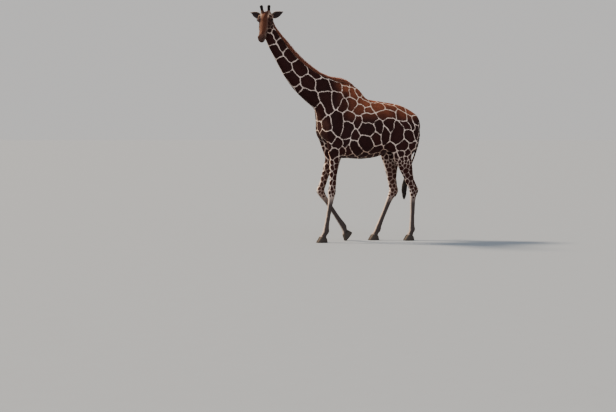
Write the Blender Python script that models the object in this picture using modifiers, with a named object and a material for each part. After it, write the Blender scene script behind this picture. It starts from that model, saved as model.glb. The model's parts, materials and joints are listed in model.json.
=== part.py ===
"""A reticulated giraffe at life size, a still model in a slow walk, looking to its left.

The giraffe heads along -X, its left side is towards -Y and the floor is z = 0.
Flesh is one fused form, parted by thin cuts into the pieces that a person would name.
"""

import math

import bmesh
import bpy
from mathutils import Matrix, Vector

COLLECTION = "giraffe"
GAP = 0.0003
ROOT_GAP = 0.0006
VOXEL = 0.010
FLESH_TRIANGLES = 4300

# How far the fused flesh is rounded, and where it is kept firmer.
FIRST_SOFTENINGS = 4
SOFTENINGS = 110
SOFTENING_STEP = 0.5
HEAD_SHARE = 0.45
LEG_SHARE = 0.12
FIRM_LEG_Z = 1.15
HEAD_REACH = 0.72

SIDES = {"left": -1, "right": 1}
ACROSS = Vector((0, 1, 0))

# Places and directions of the thin cuts.
ACROSS_NECK = Vector((-0.75, 0, 0.66))
NECK_BASE = Vector((-0.90, 0, 2.85))
NECK_MIDDLE = Vector((-1.55, 0, 3.38))
HEAD_BASE = Vector((-1.960, 0, 4.10))
HEAD_CUT = Vector((-0.75, -0.45, 0.25))
MOUTH_CORNER = (0.440, 0.0, -0.190)
JAW_TAPER = 0.10
BODY_CUT_Z = 1.50
KNEE_CUT_Z = 0.90
HOCK_CUT_Z = 0.93

# The head, placed by the crown between the ossicones, and by where it looks.
CROWN = Vector((-2.048, -0.101, 4.340))
HEAD_TURN = math.radians(54)
HEAD_PITCH = math.radians(49)
LOOK = Vector((-math.cos(HEAD_TURN), -math.sin(HEAD_TURN), 0))
FORWARD = LOOK * math.cos(HEAD_PITCH) - Vector((0, 0, math.sin(HEAD_PITCH)))
UPWARD = LOOK * math.sin(HEAD_PITCH) + Vector((0, 0, math.cos(HEAD_PITCH)))
LEFTWARD = UPWARD.cross(FORWARD)

EYE_RADIUS = 0.030
EYE_FORWARD, EYE_OUT, EYE_DOWN = 0.150, 0.113, 0.082

# A loft's stations: x, y, z, half width, reach to the back, reach to the front or belly, and
# how much narrower it is towards the back.
TRUNK = (
    (-0.965, 0, 2.13, 0.07, 0.09, 0.12, 0.0),
    (-0.91, 0, 2.15, 0.15, 0.24, 0.30, 0.0),
    (-0.80, 0, 2.20, 0.22, 0.55, 0.54, 0.2),
    (-0.62, 0, 2.26, 0.25, 0.76, 0.67, 0.35),
    (-0.42, 0, 2.25, 0.285, 0.775, 0.68, 0.40),
    (-0.22, 0, 2.20, 0.310, 0.660, 0.63, 0.30),
    (-0.04, 0, 2.17, 0.328, 0.575, 0.60, 0.18),
    (0.20, 0, 2.17, 0.335, 0.54, 0.56, 0.10),
    (0.45, 0, 2.19, 0.315, 0.490, 0.48, 0.08),
    (0.68, 0, 2.22, 0.275, 0.420, 0.42, 0.08),
    (0.88, 0, 2.21, 0.23, 0.310, 0.36, 0.08),
    (1.02, 0, 2.14, 0.16, 0.19, 0.28, 0.0),
    (1.08, 0, 2.08, 0.08, 0.09, 0.14, 0.0),
)
NECK = (
    (-1.990, 0.026, 4.270, 0.068, 0.070, 0.070, 0.0),
    (-1.978, 0.018, 4.180, 0.080, 0.095, 0.095, 0.0),
    (-1.950, 0.008, 4.040, 0.088, 0.120, 0.115, 0.1),
    (-1.890, 0.000, 3.869, 0.090, 0.142, 0.135, 0.15),
    (-1.798, 0.000, 3.731, 0.095, 0.160, 0.160, 0.15),
    (-1.622, 0.000, 3.474, 0.107, 0.188, 0.190, 0.15),
    (-1.470, 0.000, 3.286, 0.120, 0.225, 0.232, 0.15),
    (-1.284, 0.000, 3.095, 0.142, 0.258, 0.265, 0.15),
    (-1.074, 0.000, 2.938, 0.162, 0.290, 0.300, 0.2),
    (-0.770, 0.000, 2.780, 0.190, 0.340, 0.370, 0.3),
    (-0.450, 0.000, 2.600, 0.215, 0.380, 0.420, 0.3),
)
# The head's stations: forward, up, half width, reach up, reach down, narrowing to the top.
HEAD = (
    (-0.105, -0.155, 0.060, 0.050, 0.062, 0.0),
    (-0.050, -0.138, 0.092, 0.085, 0.100, 0.0),
    (0.020, -0.128, 0.112, 0.112, 0.132, 0.05),
    (0.100, -0.130, 0.122, 0.122, 0.138, 0.05),
    (0.180, -0.134, 0.116, 0.108, 0.122, 0.05),
    (0.270, -0.142, 0.099, 0.086, 0.100, 0.05),
    (0.360, -0.150, 0.084, 0.070, 0.080, 0.0),
    (0.440, -0.155, 0.076, 0.060, 0.071, 0.0),
    (0.520, -0.158, 0.077, 0.055, 0.070, 0.0),
    (0.580, -0.162, 0.069, 0.045, 0.062, 0.0),
    (0.615, -0.166, 0.040, 0.024, 0.034, 0.0),
)
# Rounded masses of the head, on both sides and along its middle: forward, out, up, three radii.
HEAD_MASSES = (
    (0.110, 0.100, -0.062, 0.100, 0.044, 0.052),
    (0.080, 0.078, -0.205, 0.110, 0.044, 0.074),
    (0.220, 0.072, -0.140, 0.140, 0.040, 0.050),
    (0.520, 0.040, -0.136, 0.060, 0.038, 0.040),
)
HEAD_RIDGES = (
    (0.105, 0.0, -0.024, 0.100, 0.050, 0.040),
    (0.420, 0.0, -0.112, 0.150, 0.030, 0.026),
    (0.570, 0.0, -0.216, 0.046, 0.044, 0.026),
)

# Muscle and bone that stand out on both sides of the body: x, y, z and radii along X, Y and Z.
BODY_MASSES = (
    (0.47, 0.130, 2.44, 0.26, 0.12, 0.17),
    (0.93, 0.12, 2.23, 0.17, 0.11, 0.25),
    (-0.86, 0.13, 2.16, 0.11, 0.11, 0.22),
    (-0.42, 0.17, 1.95, 0.34, 0.13, 0.34),
)

# The leg joints of each side: forelegs then hind legs.
FORE_JOINTS = {
    "left": {
        "blade": (-0.50, 0.10, 2.90),
        "shoulder": (-0.76, 0.22, 2.12),
        "elbow": (-0.70, 0.205, 1.66),
        "knee": (-0.750, 0.19, 0.945),
        "fetlock": (-0.885, 0.19, 0.212),
    },
    "right": {
        "blade": (-0.50, 0.10, 2.90),
        "shoulder": (-0.77, 0.22, 2.12),
        "elbow": (-0.62, 0.205, 1.62),
        "knee": (-0.848, 0.19, 0.955),
        "fetlock": (-0.385, 0.19, 0.287),
    },
}
HIND_JOINTS = {
    "left": {
        "hip": (0.70, 0.16, 2.36),
        "thigh": (0.72, 0.21, 2.02),
        "stifle": (0.66, 0.215, 1.66),
        "hock": (0.935, 0.17, 0.975),
        "fetlock": (0.905, 0.17, 0.215),
    },
    "right": {
        "hip": (0.66, 0.16, 2.36),
        "thigh": (0.66, 0.21, 2.02),
        "stifle": (0.60, 0.215, 1.66),
        "hock": (0.655, 0.17, 0.950),
        "fetlock": (0.325, 0.17, 0.205),
    },
}
# A leg's sections: two joints, the way between them, half width, reach back, reach forward.
FORE_SECTIONS = (
    ("blade", "shoulder", 0.0, 0.060, 0.15, 0.11),
    ("blade", "shoulder", 0.5, 0.085, 0.21, 0.17),
    ("blade", "shoulder", 0.95, 0.100, 0.21, 0.15),
    ("shoulder", "elbow", 0.5, 0.105, 0.20, 0.14),
    ("shoulder", "elbow", 1.0, 0.092, 0.155, 0.125),
    ("elbow", "knee", 0.22, 0.078, 0.112, 0.106),
    ("elbow", "knee", 0.50, 0.064, 0.086, 0.086),
    ("elbow", "knee", 0.80, 0.060, 0.072, 0.074),
    ("elbow", "knee", 0.97, 0.069, 0.070, 0.082),
    ("knee", "fetlock", 0.08, 0.062, 0.070, 0.072),
    ("knee", "fetlock", 0.25, 0.046, 0.058, 0.052),
    ("knee", "fetlock", 0.60, 0.042, 0.054, 0.046),
    ("knee", "fetlock", 0.85, 0.046, 0.060, 0.050),
    ("knee", "fetlock", 1.0, 0.057, 0.072, 0.056),
    ("fetlock", "coronet", 0.5, 0.048, 0.056, 0.050),
    ("fetlock", "coronet", 0.95, 0.062, 0.066, 0.064),
    ("fetlock", "coronet", 1.5, 0.066, 0.066, 0.070),
)
HIND_SECTIONS = (
    ("hip", "thigh", 0.0, 0.10, 0.22, 0.20),
    ("hip", "thigh", 0.5, 0.12, 0.31, 0.27),
    ("hip", "thigh", 1.0, 0.125, 0.33, 0.28),
    ("thigh", "stifle", 0.5, 0.120, 0.31, 0.25),
    ("thigh", "stifle", 1.0, 0.105, 0.260, 0.20),
    ("stifle", "hock", 0.25, 0.082, 0.185, 0.150),
    ("stifle", "hock", 0.55, 0.064, 0.125, 0.120),
    ("stifle", "hock", 0.80, 0.052, 0.098, 0.088),
    ("stifle", "hock", 0.97, 0.058, 0.092, 0.078),
    ("hock", "fetlock", 0.10, 0.056, 0.076, 0.070),
    ("hock", "fetlock", 0.28, 0.045, 0.058, 0.058),
    ("hock", "fetlock", 0.60, 0.041, 0.053, 0.050),
    ("hock", "fetlock", 0.86, 0.045, 0.060, 0.052),
    ("hock", "fetlock", 1.0, 0.056, 0.070, 0.056),
    ("fetlock", "coronet", 0.5, 0.047, 0.055, 0.049),
    ("fetlock", "coronet", 0.95, 0.060, 0.064, 0.062),
    ("fetlock", "coronet", 1.5, 0.064, 0.064, 0.068),
)

# The heel bone behind the hock and its cord: the way from stifle to hock, how far back, and size.
HEEL_BONE = ((0.45, 0.085, 0.022), (0.75, 0.085, 0.022), (0.93, 0.088, 0.028), (1.03, 0.074, 0.032))
HEEL_END_BACK, HEEL_END_DOWN, HEEL_END_SIZE = 0.040, 0.11, 0.030

# The hooves: where each sole stands, out to the side, and how far its toe is tipped down.
HOOVES = {
    "fore_left": (-0.935, -0.19, 0.0),
    "fore_right": (-0.255, 0.19, 50.0),
    "hind_left": (0.865, -0.17, 0.0),
    "hind_right": (0.270, 0.17, 0.0),
}
HOOF_TOE, HOOF_HEEL, HOOF_HALF_WIDTH = 0.125, 0.090, 0.080
CORONET_TOE, CORONET_HEEL, CORONET_HALF_WIDTH = 0.062, 0.074, 0.064
CORONET_Z, CORONET_SLOPE, CORONET_BACK = 0.100, 0.22, 0.004
CLEFT = 0.004
CLEFT_WAYS = (0.3, 0.7)
TOE_FLAT = 0.004
TOE_SPREAD = 0.010
SOLE_EDGE, SOLE_EDGE_Z = 0.004, 0.010
CLAW_ROUNDNESS = 0.75
CLAW_STEPS = 10

# The upper edge of the mane: x, y, z and half thickness.  It is rooted in the nape.
MANE_DEPTH = 0.11
MANE_CREST = 0.008
MANE_EDGE = (
    (-2.000, -0.040, 4.355, 0.010),
    (-1.945, 0.005, 4.335, 0.014),
    (-1.885, 0.020, 4.220, 0.018),
    (-1.810, 0.010, 4.060, 0.023),
    (-1.700, 0.000, 3.925, 0.026),
    (-1.570, 0.000, 3.790, 0.028),
    (-1.420, 0.000, 3.620, 0.028),
    (-1.250, 0.000, 3.460, 0.028),
    (-1.090, 0.000, 3.335, 0.028),
    (-0.920, 0.000, 3.220, 0.028),
    (-0.730, 0.000, 3.145, 0.028),
    (-0.560, 0.000, 3.128, 0.028),
    (-0.400, 0.000, 3.095, 0.026),
    (-0.270, 0.000, 3.005, 0.022),
    (-0.160, 0.000, 2.895, 0.018),
    (-0.070, 0.000, 2.800, 0.012),
)

TAIL = (
    (0.90, 0.000, 2.440, 0.030),
    (1.02, 0.004, 2.385, 0.034),
    (1.105, 0.015, 2.250, 0.030),
    (1.145, 0.040, 2.050, 0.024),
    (1.135, 0.085, 1.850, 0.020),
    (1.085, 0.150, 1.600, 0.017),
    (1.020, 0.215, 1.380, 0.016),
    (0.985, 0.250, 1.270, 0.018),
    (0.960, 0.275, 1.150, 0.036),
    (0.940, 0.292, 1.000, 0.044),
    (0.925, 0.302, 0.860, 0.036),
    (0.915, 0.308, 0.760, 0.014),
)
TUFT_START_Z = 1.245

EAR_LENGTH, EAR_HALF_WIDTH, EAR_THICKNESS, EAR_CUP = 0.250, 0.051, 0.009, 0.9
EAR_ROOT = (0.015, 0.096, -0.130)
EAR_AIM = (-0.290, 0.88, 0.220)
EAR_STEPS, EAR_COLUMNS = 9, 6
EAR_END, EAR_BASE_WIDTH, EAR_BULGE, EAR_WIDEST = 0.985, 0.50, 0.85, 1.12
EAR_CUP_AT_BASE, EAR_CUP_LOSS = 1.35, 0.60
EAR_FACES_OUT, EAR_FACES_DOWN = 0.25, 0.10

# The ossicones: profile of the way from base to tip and how thick, and the way they lean back.
OSSICONE_LENGTH, OSSICONE_RADIUS = 0.120, 0.029
OSSICONE_OUT, OSSICONE_DOWN = 0.062, 0.012
OSSICONE_BACK, OSSICONE_SPLAY, OSSICONE_UP = 0.55, 0.12, 0.82
OSSICONE_PROFILE = (
    (-0.60, 1.20),
    (-0.15, 1.32),
    (0.20, 1.02),
    (0.50, 0.88),
    (0.75, 0.98),
    (0.90, 0.95),
    (0.98, 0.70),
    (1.00, 0.35),
)

COLOURS = {
    "coat": (0.19, 0.06, 0.03, 1),
    "legs": (0.55, 0.44, 0.36, 1),
    "mane": (0.24, 0.08, 0.03, 1),
    "tuft": (0.02, 0.015, 0.015, 1),
    "eye": (0.01, 0.008, 0.007, 1),
    "hoof": (0.06, 0.05, 0.045, 1),
}
ROUGHNESS = {"coat": 0.85, "legs": 0.85, "mane": 0.85, "tuft": 0.85, "eye": 0.08, "hoof": 0.45}
KINDS = (
    ("hoof", "hoof"),
    ("eye", "eye"),
    ("tail_tuft", "tuft"),
    ("mane", "mane"),
    ("fore", "legs"),
    ("hind", "legs"),
    ("", "coat"),
)


def clear_scene():
    for item in list(bpy.data.objects):
        bpy.data.objects.remove(item, do_unlink=True)


def make_material(name, colour, roughness):
    material = bpy.data.materials.new(name)
    material.use_nodes = True
    shader = material.node_tree.nodes["Principled BSDF"]
    shader.inputs["Base Color"].default_value = colour
    shader.inputs["Roughness"].default_value = roughness
    shader.inputs["Metallic"].default_value = 0.0
    return material


def new_object(name, mesh, collection):
    item = bpy.data.objects.new(name, mesh)
    collection.objects.link(item)
    return item


def mesh_from(bm, name):
    bmesh.ops.recalc_face_normals(bm, faces=bm.faces)
    mesh = bpy.data.meshes.new(name)
    bm.to_mesh(mesh)
    bm.free()
    return mesh


def smooth_between(rows, steps):
    """More rows between the given ones, on a Catmull-Rom curve through them."""
    count = len(rows)
    dense = []
    for index in range(count - 1):
        four = [rows[max(0, min(count - 1, index + k))] for k in (-1, 0, 1, 2)]
        for step in range(steps):
            t = step / steps
            weights = (
                -0.5 * t + t * t - 0.5 * t**3,
                1 - 2.5 * t * t + 1.5 * t**3,
                0.5 * t + 2 * t * t - 1.5 * t**3,
                -0.5 * t * t + 0.5 * t**3,
            )
            dense.append([sum(w * row[n] for w, row in zip(weights, four)) for n in range(len(rows[0]))])
    dense.append(list(rows[-1]))
    return dense


def loft_mesh(name, rows, across=ACROSS, steps=3, sides=24):
    """A closed skin over rows of x, y, z, half width, reach one way, reach the other, narrowing."""
    dense = smooth_between(rows, steps)
    places = [Vector(row[:3]) for row in dense]
    bm = bmesh.new()
    rings = []
    for index, row in enumerate(dense):
        along = places[min(index + 1, len(places) - 1)] - places[max(index - 1, 0)]
        along.normalize()
        side = (across - along * across.dot(along)).normalized()
        up = along.cross(side)
        half_width, above, below, narrowing = row[3:7]
        ring = []
        for step in range(sides):
            turn = 2 * math.pi * step / sides
            height = math.sin(turn)
            reach = above if height > 0 else below
            width = half_width * (1 - narrowing * height)
            place = places[index] + side * (width * math.cos(turn)) + up * (reach * height)
            ring.append(bm.verts.new(place))
        rings.append(ring)
    for lower, upper in zip(rings, rings[1:]):
        for step in range(sides):
            after = (step + 1) % sides
            bm.faces.new((lower[step], lower[after], upper[after], upper[step]))
    bm.faces.new(list(reversed(rings[0])))
    bm.faces.new(rings[-1])
    return mesh_from(bm, name)


def mass_mesh(name, place, axes, radii):
    """An ellipsoid with its own three axes."""
    bm = bmesh.new()
    bmesh.ops.create_uvsphere(bm, u_segments=16, v_segments=10, radius=1.0)
    for vert in bm.verts:
        x, y, z = vert.co
        vert.co = place + axes[0] * (x * radii[0]) + axes[1] * (y * radii[1]) + axes[2] * (z * radii[2])
    return mesh_from(bm, name)


def in_head(forward, out, up):
    return CROWN + FORWARD * forward + LEFTWARD * out + UPWARD * up


def realised(item, name):
    """The mesh that an object's modifiers make."""
    graph = bpy.context.evaluated_depsgraph_get()
    mesh = bpy.data.meshes.new_from_object(item.evaluated_get(graph))
    mesh.name = name
    return mesh


def boolean(item, other, operation):
    """The item with another solid added to it or cut from it, applied."""
    modifier = item.modifiers.new("join", "BOOLEAN")
    modifier.object = other
    modifier.operation = operation
    modifier.solver = "EXACT"
    mesh = realised(item, item.name)
    item.modifiers.clear()
    item.data = mesh


def head_meshes():
    rows = []
    for forward, up, half_width, above, below, narrowing in HEAD:
        rows.append((*in_head(forward, 0, up), half_width, above, below, narrowing))
    meshes = [loft_mesh("skull", rows, across=LEFTWARD)]
    axes = (FORWARD, LEFTWARD, UPWARD)
    for forward, out, up, *radii in HEAD_MASSES:
        for sign in (-1, 1):
            meshes.append(mass_mesh("mass", in_head(forward, sign * out, up), axes, radii))
    for forward, out, up, *radii in HEAD_RIDGES:
        meshes.append(mass_mesh("ridge", in_head(forward, out, up), axes, radii))
    return meshes


def hoof_matrix(leg):
    """The hoof's own frame: toe along +X, sole at z = 0, in its place on the floor."""
    x, y, tip = HOOVES[leg]
    turn = Matrix.Rotation(math.pi, 4, "Z") @ Matrix.Rotation(math.radians(tip), 4, "Y")
    toe_drop = HOOF_TOE * math.sin(math.radians(tip))
    lift = toe_drop - (TOE_FLAT if tip else 0)
    return Matrix.Translation((x, y, lift)) @ turn


def leg_mesh(leg, joints, sections, sign):
    places = {name: Vector((x, sign * y, z)) for name, (x, y, z) in joints.items()}
    places["coronet"] = hoof_matrix(leg) @ Vector((-CORONET_BACK, 0, CORONET_Z))
    rows = []
    for start, end, way, half_width, back, front in sections:
        place = places[start].lerp(places[end], way)
        rows.append((*place, half_width, back, front, 0.0))
    return loft_mesh(leg, rows)


def point_of_hock(joints, sign):
    """The heel bone behind each hock, with the cord that runs down to it."""
    hock = Vector(joints["hock"])
    stifle = Vector(joints["stifle"])
    rows = []
    for way, back, size in HEEL_BONE:
        place = stifle.lerp(hock, way)
        rows.append((place.x + back, sign * place.y, place.z, size, size, size, 0.0))
    end = Vector((hock.x + HEEL_END_BACK, sign * hock.y, hock.z - HEEL_END_DOWN))
    rows.append((*end, HEEL_END_SIZE, HEEL_END_SIZE, HEEL_END_SIZE, 0.0))
    return loft_mesh("heel", rows, sides=12)


def body_masses():
    axes = (Vector((1, 0, 0)), Vector((0, 1, 0)), Vector((0, 0, 1)))
    masses = []
    for x, y, z, *radii in BODY_MASSES:
        for sign in (-1, 1):
            masses.append(mass_mesh("mass", Vector((x, sign * y, z)), axes, radii))
    return masses


def fused_flesh(collection):
    """All the flesh as one smooth skin."""
    meshes = [loft_mesh("trunk", TRUNK), loft_mesh("neck", NECK)]
    meshes += head_meshes() + body_masses()
    for side, sign in SIDES.items():
        meshes.append(leg_mesh("fore_" + side, FORE_JOINTS[side], FORE_SECTIONS, sign))
        meshes.append(leg_mesh("hind_" + side, HIND_JOINTS[side], HIND_SECTIONS, sign))
        meshes.append(point_of_hock(HIND_JOINTS[side], sign))
    bm = bmesh.new()
    for mesh in meshes:
        bm.from_mesh(mesh)
        bpy.data.meshes.remove(mesh)
    flesh = new_object("flesh", mesh_from(bm, "flesh"), collection)
    remesh = flesh.modifiers.new("fuse", "REMESH")
    remesh.mode = "VOXEL"
    remesh.voxel_size = VOXEL
    flesh.data = realised(flesh, "flesh")
    flesh.modifiers.clear()
    return flesh


def soften(flesh):
    """Rounds the body most, the head and the lower legs least, then thins the triangles."""
    broad = flesh.vertex_groups.new(name="broad")
    for vert in flesh.data.vertices:
        near_head = (vert.co - CROWN).length < HEAD_REACH
        share = HEAD_SHARE if near_head else LEG_SHARE if vert.co.z < FIRM_LEG_Z else 1.0
        broad.add([vert.index], share, "REPLACE")
    for group, repeats in (("", FIRST_SOFTENINGS), ("broad", SOFTENINGS)):
        smooth = flesh.modifiers.new("soften", "SMOOTH")
        smooth.factor = SOFTENING_STEP
        smooth.iterations = repeats
        smooth.vertex_group = group
    flesh.data = realised(flesh, "flesh")
    flesh.modifiers.clear()
    thin = flesh.modifiers.new("thin", "DECIMATE")
    thin.ratio = FLESH_TRIANGLES / (2 * len(flesh.data.polygons))
    flesh.data = realised(flesh, "flesh")
    flesh.modifiers.clear()
    flesh.vertex_groups.clear()


def halve(item, place, normal, keep_ahead):
    """Cuts an object by a plane, keeps one side and closes it."""
    bm = bmesh.new()
    bm.from_mesh(item.data)
    everything = bm.verts[:] + bm.edges[:] + bm.faces[:]
    bmesh.ops.bisect_plane(
        bm, geom=everything, dist=1e-6, plane_co=place, plane_no=normal,
        clear_inner=keep_ahead, clear_outer=not keep_ahead,
    )
    bmesh.ops.holes_fill(bm, edges=[edge for edge in bm.edges if edge.is_boundary], sides=0)
    bmesh.ops.recalc_face_normals(bm, faces=bm.faces)
    bm.to_mesh(item.data)
    bm.free()


def slice_off(item, place, normal, name, collection):
    """Parts an object by a thin cut and returns the piece ahead of it as its own object."""
    normal = normal.normalized()
    ahead = new_object(name, item.data.copy(), collection)
    halve(ahead, place + normal * (GAP / 2), normal, True)
    halve(item, place - normal * (GAP / 2), normal, False)
    return ahead


def islands(item):
    """The separate closed bodies of an object, as sets of face indices."""
    bm = bmesh.new()
    bm.from_mesh(item.data)
    bm.faces.ensure_lookup_table()
    found = []
    waiting = set(range(len(bm.faces)))
    while waiting:
        island = {waiting.pop()}
        front = list(island)
        while front:
            face = bm.faces[front.pop()]
            for edge in face.edges:
                for other in edge.link_faces:
                    if other.index in waiting:
                        waiting.discard(other.index)
                        island.add(other.index)
                        front.append(other.index)
        found.append(island)
    bm.free()
    return found


def keep_island(item, island):
    bm = bmesh.new()
    bm.from_mesh(item.data)
    bmesh.ops.delete(bm, geom=[face for face in bm.faces if face.index not in island], context="FACES")
    bm.to_mesh(item.data)
    bm.free()


def split_legs(legs, collection):
    """Each leg below the body as its own object, named by where it stands."""
    found = {}
    for island in islands(legs):
        piece = new_object("leg", legs.data.copy(), collection)
        keep_island(piece, island)
        middle = sum((vert.co for vert in piece.data.vertices), Vector()) / len(piece.data.vertices)
        name = ("fore_" if middle.x < 0 else "hind_") + ("left" if middle.y < 0 else "right")
        piece.name = name + "_upper"
        found[name] = piece
    bpy.data.objects.remove(legs)
    return found


def part_flesh(flesh, collection):
    """Parts the fused flesh into head, jaw, neck, trunk and legs."""
    neck = slice_off(flesh, NECK_BASE, ACROSS_NECK, "neck_lower", collection)
    upper = slice_off(neck, NECK_MIDDLE, ACROSS_NECK, "neck_upper", collection)
    head = slice_off(upper, HEAD_BASE, HEAD_CUT, "head", collection)
    down_from_mouth = -UPWARD - FORWARD * JAW_TAPER
    slice_off(head, in_head(*MOUTH_CORNER), down_from_mouth, "lower_jaw", collection)
    legs = slice_off(flesh, Vector((0, 0, BODY_CUT_Z)), Vector((0, 0, -1)), "legs", collection)
    flesh.name = "trunk"
    for name, upper_leg in split_legs(legs, collection).items():
        level = KNEE_CUT_Z if name.startswith("fore") else HOCK_CUT_Z
        lower = slice_off(upper_leg, Vector((0, 0, level)), Vector((0, 0, -1)), name + "_lower", collection)
        place = hoof_matrix(name) @ Vector((0, 0, CORONET_Z))
        normal = hoof_matrix(name).to_3x3() @ Vector((-CORONET_SLOPE, 0, 1))
        halve(lower, place, normal, True)


def claw_outline(toe, heel, half_width, height):
    """A claw seen from above: straight along the cleft, rounded outside, pointed at the toe."""
    middle, half_length = (toe - heel) / 2, (toe + heel) / 2
    points = []
    for step in range(CLAW_STEPS + 1):
        turn = math.pi * step / CLAW_STEPS
        x = middle + half_length * math.cos(turn)
        inner = CLEFT + TOE_SPREAD * max(0.0, math.cos(turn))
        y = inner + (half_width - CLEFT) * math.sin(turn) ** CLAW_ROUNDNESS
        points.append(Vector((x, y, height(x))))
    for way in CLEFT_WAYS:
        x = middle + half_length * (2 * way - 1)
        points.append(Vector((x, CLEFT, height(x))))
    return points


def claw_mesh(name, matrix, sign):
    """One half of a cloven hoof, from its flat sole up to the coronet."""
    def top(x):
        return CORONET_Z + CORONET_SLOPE * x - GAP

    sole = [size - SOLE_EDGE for size in (HOOF_TOE, HOOF_HEEL, HOOF_HALF_WIDTH)]
    levels = (
        claw_outline(*sole, lambda x: 0.0),
        claw_outline(HOOF_TOE, HOOF_HEEL, HOOF_HALF_WIDTH, lambda x: SOLE_EDGE_Z),
        claw_outline(CORONET_TOE, CORONET_HEEL, CORONET_HALF_WIDTH, top),
    )
    bm = bmesh.new()
    rings = [[bm.verts.new(matrix @ Vector((p.x, sign * p.y, p.z))) for p in ring] for ring in levels]
    count = len(rings[0])
    for lower, upper in zip(rings, rings[1:]):
        for step in range(count):
            after = (step + 1) % count
            bm.faces.new((lower[step], lower[after], upper[after], upper[step]))
    bm.faces.new(rings[0])
    bm.faces.new(rings[-1])
    return mesh_from(bm, name)


def add_hooves(collection):
    for leg, (x, y, tip) in HOOVES.items():
        for half, sign in (("outer", 1), ("inner", -1)):
            side = sign if y < 0 else -sign
            name = "hoof_" + leg + "_" + half
            hoof = new_object(name, claw_mesh(name, hoof_matrix(leg), side), collection)
            if tip:
                halve(hoof, Vector((0, 0, 0)), Vector((0, 0, 1)), True)


def swollen(flesh, cutters):
    """The flesh grown by the gap, to cut what is rooted in it."""
    grown = new_object("flesh_grown", flesh.data.copy(), cutters)
    displace = grown.modifiers.new("grow", "DISPLACE")
    displace.strength = ROOT_GAP
    displace.mid_level = 0.0
    grown.data = realised(grown, "flesh_grown")
    grown.modifiers.clear()
    grown.hide_render = True
    grown.display_type = "WIRE"
    return grown


def rooted(name, mesh, grown, collection):
    """A piece whose root lies in the flesh, trimmed to what shows."""
    item = new_object(name, mesh, collection)
    boolean(item, grown, "DIFFERENCE")
    found = islands(item)
    if len(found) > 1:
        keep_island(item, max(found, key=len))
    return item


def ear_mesh(name, sign):
    """A cupped leaf, thickened, that opens forwards."""
    root = in_head(EAR_ROOT[0], sign * EAR_ROOT[1], EAR_ROOT[2])
    along = (FORWARD * EAR_AIM[0] + LEFTWARD * (sign * EAR_AIM[1]) + UPWARD * EAR_AIM[2]).normalized()
    facing = LOOK + Vector((0, 0, -EAR_FACES_DOWN)) + LEFTWARD * (sign * EAR_FACES_OUT)
    facing = (facing - along * facing.dot(along)).normalized()
    side = along.cross(facing)
    bm = bmesh.new()
    rows = []
    for step in range(EAR_STEPS + 1):
        way = EAR_END * step / EAR_STEPS
        bulge = math.sin(math.pi * way**EAR_BULGE)
        width = EAR_HALF_WIDTH * (EAR_BASE_WIDTH * (1 - way) + bulge) / EAR_WIDEST
        row = []
        for column in range(EAR_COLUMNS + 1):
            turn = EAR_CUP * (2 * column / EAR_COLUMNS - 1) * (EAR_CUP_AT_BASE - EAR_CUP_LOSS * way)
            out = width * math.sin(turn) / math.sin(EAR_CUP)
            rise = width * (1 - math.cos(turn)) / math.sin(EAR_CUP)
            row.append(bm.verts.new(root + along * (EAR_LENGTH * way) + side * out + facing * rise))
        rows.append(row)
    for lower, upper in zip(rows, rows[1:]):
        for column in range(EAR_COLUMNS):
            bm.faces.new((lower[column], lower[column + 1], upper[column + 1], upper[column]))
    mesh = bpy.data.meshes.new(name)
    bm.to_mesh(mesh)
    bm.free()
    return mesh


def add_ears(grown, collection):
    for side, sign in (("left", 1), ("right", -1)):
        name = "ear_" + side
        leaf = new_object(name + "_leaf", ear_mesh(name, sign), collection)
        thick = leaf.modifiers.new("thick", "SOLIDIFY")
        thick.thickness = EAR_THICKNESS
        thick.offset = 0.0
        solid = realised(leaf, name)
        bpy.data.objects.remove(leaf)
        rooted(name, solid, grown, collection)


def add_ossicones(grown, collection):
    for side, sign in (("left", 1), ("right", -1)):
        aim = UPWARD * OSSICONE_UP - FORWARD * OSSICONE_BACK + LEFTWARD * (sign * OSSICONE_SPLAY)
        aim.normalize()
        base = in_head(0.0, sign * OSSICONE_OUT, -OSSICONE_DOWN)
        rows = []
        for way, swell in OSSICONE_PROFILE:
            size = OSSICONE_RADIUS * swell
            rows.append((*(base + aim * (OSSICONE_LENGTH * way)), size, size, size, 0.0))
        mesh = loft_mesh("ossicone_" + side, rows, across=LEFTWARD, steps=1, sides=14)
        rooted("ossicone_" + side, mesh, grown, collection)


def add_eyes(flesh, cutters, collection):
    """Eyeballs, each in a socket with a thin gap."""
    axes = (FORWARD, LEFTWARD, UPWARD)
    for side, sign in (("left", 1), ("right", -1)):
        place = in_head(EYE_FORWARD, sign * EYE_OUT, -EYE_DOWN)
        socket_size = EYE_RADIUS + 1.5 * GAP
        socket = new_object("socket_" + side, mass_mesh("socket", place, axes, [socket_size] * 3), cutters)
        socket.hide_render = True
        socket.display_type = "WIRE"
        boolean(flesh, socket, "DIFFERENCE")
        new_object("eye_" + side, mass_mesh("eye_" + side, place, axes, [EYE_RADIUS] * 3), collection)


def add_mane(grown, collection):
    rows = [(x, y, z, half, MANE_CREST, MANE_DEPTH, 0.0) for x, y, z, half in MANE_EDGE]
    rooted("mane", loft_mesh("mane", rows, steps=1, sides=10), grown, collection)


def add_tail(grown, collection):
    rows = [(x, y, z, size, size, size, 0.0) for x, y, z, size in TAIL]
    tail = rooted("tail", loft_mesh("tail", rows, steps=2, sides=10), grown, collection)
    slice_off(tail, Vector((0, 0, TUFT_START_Z)), Vector((0, 0, -1)), "tail_tuft", collection)


def add_materials(collection):
    """Each object gets its own material, in the colour of its kind."""
    for item in collection.objects:
        kind = next(kind for start, kind in KINDS if item.name.startswith(start))
        item.data.materials.clear()
        item.data.materials.append(make_material(item.name + "_finish", COLOURS[kind], ROUGHNESS[kind]))


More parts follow.
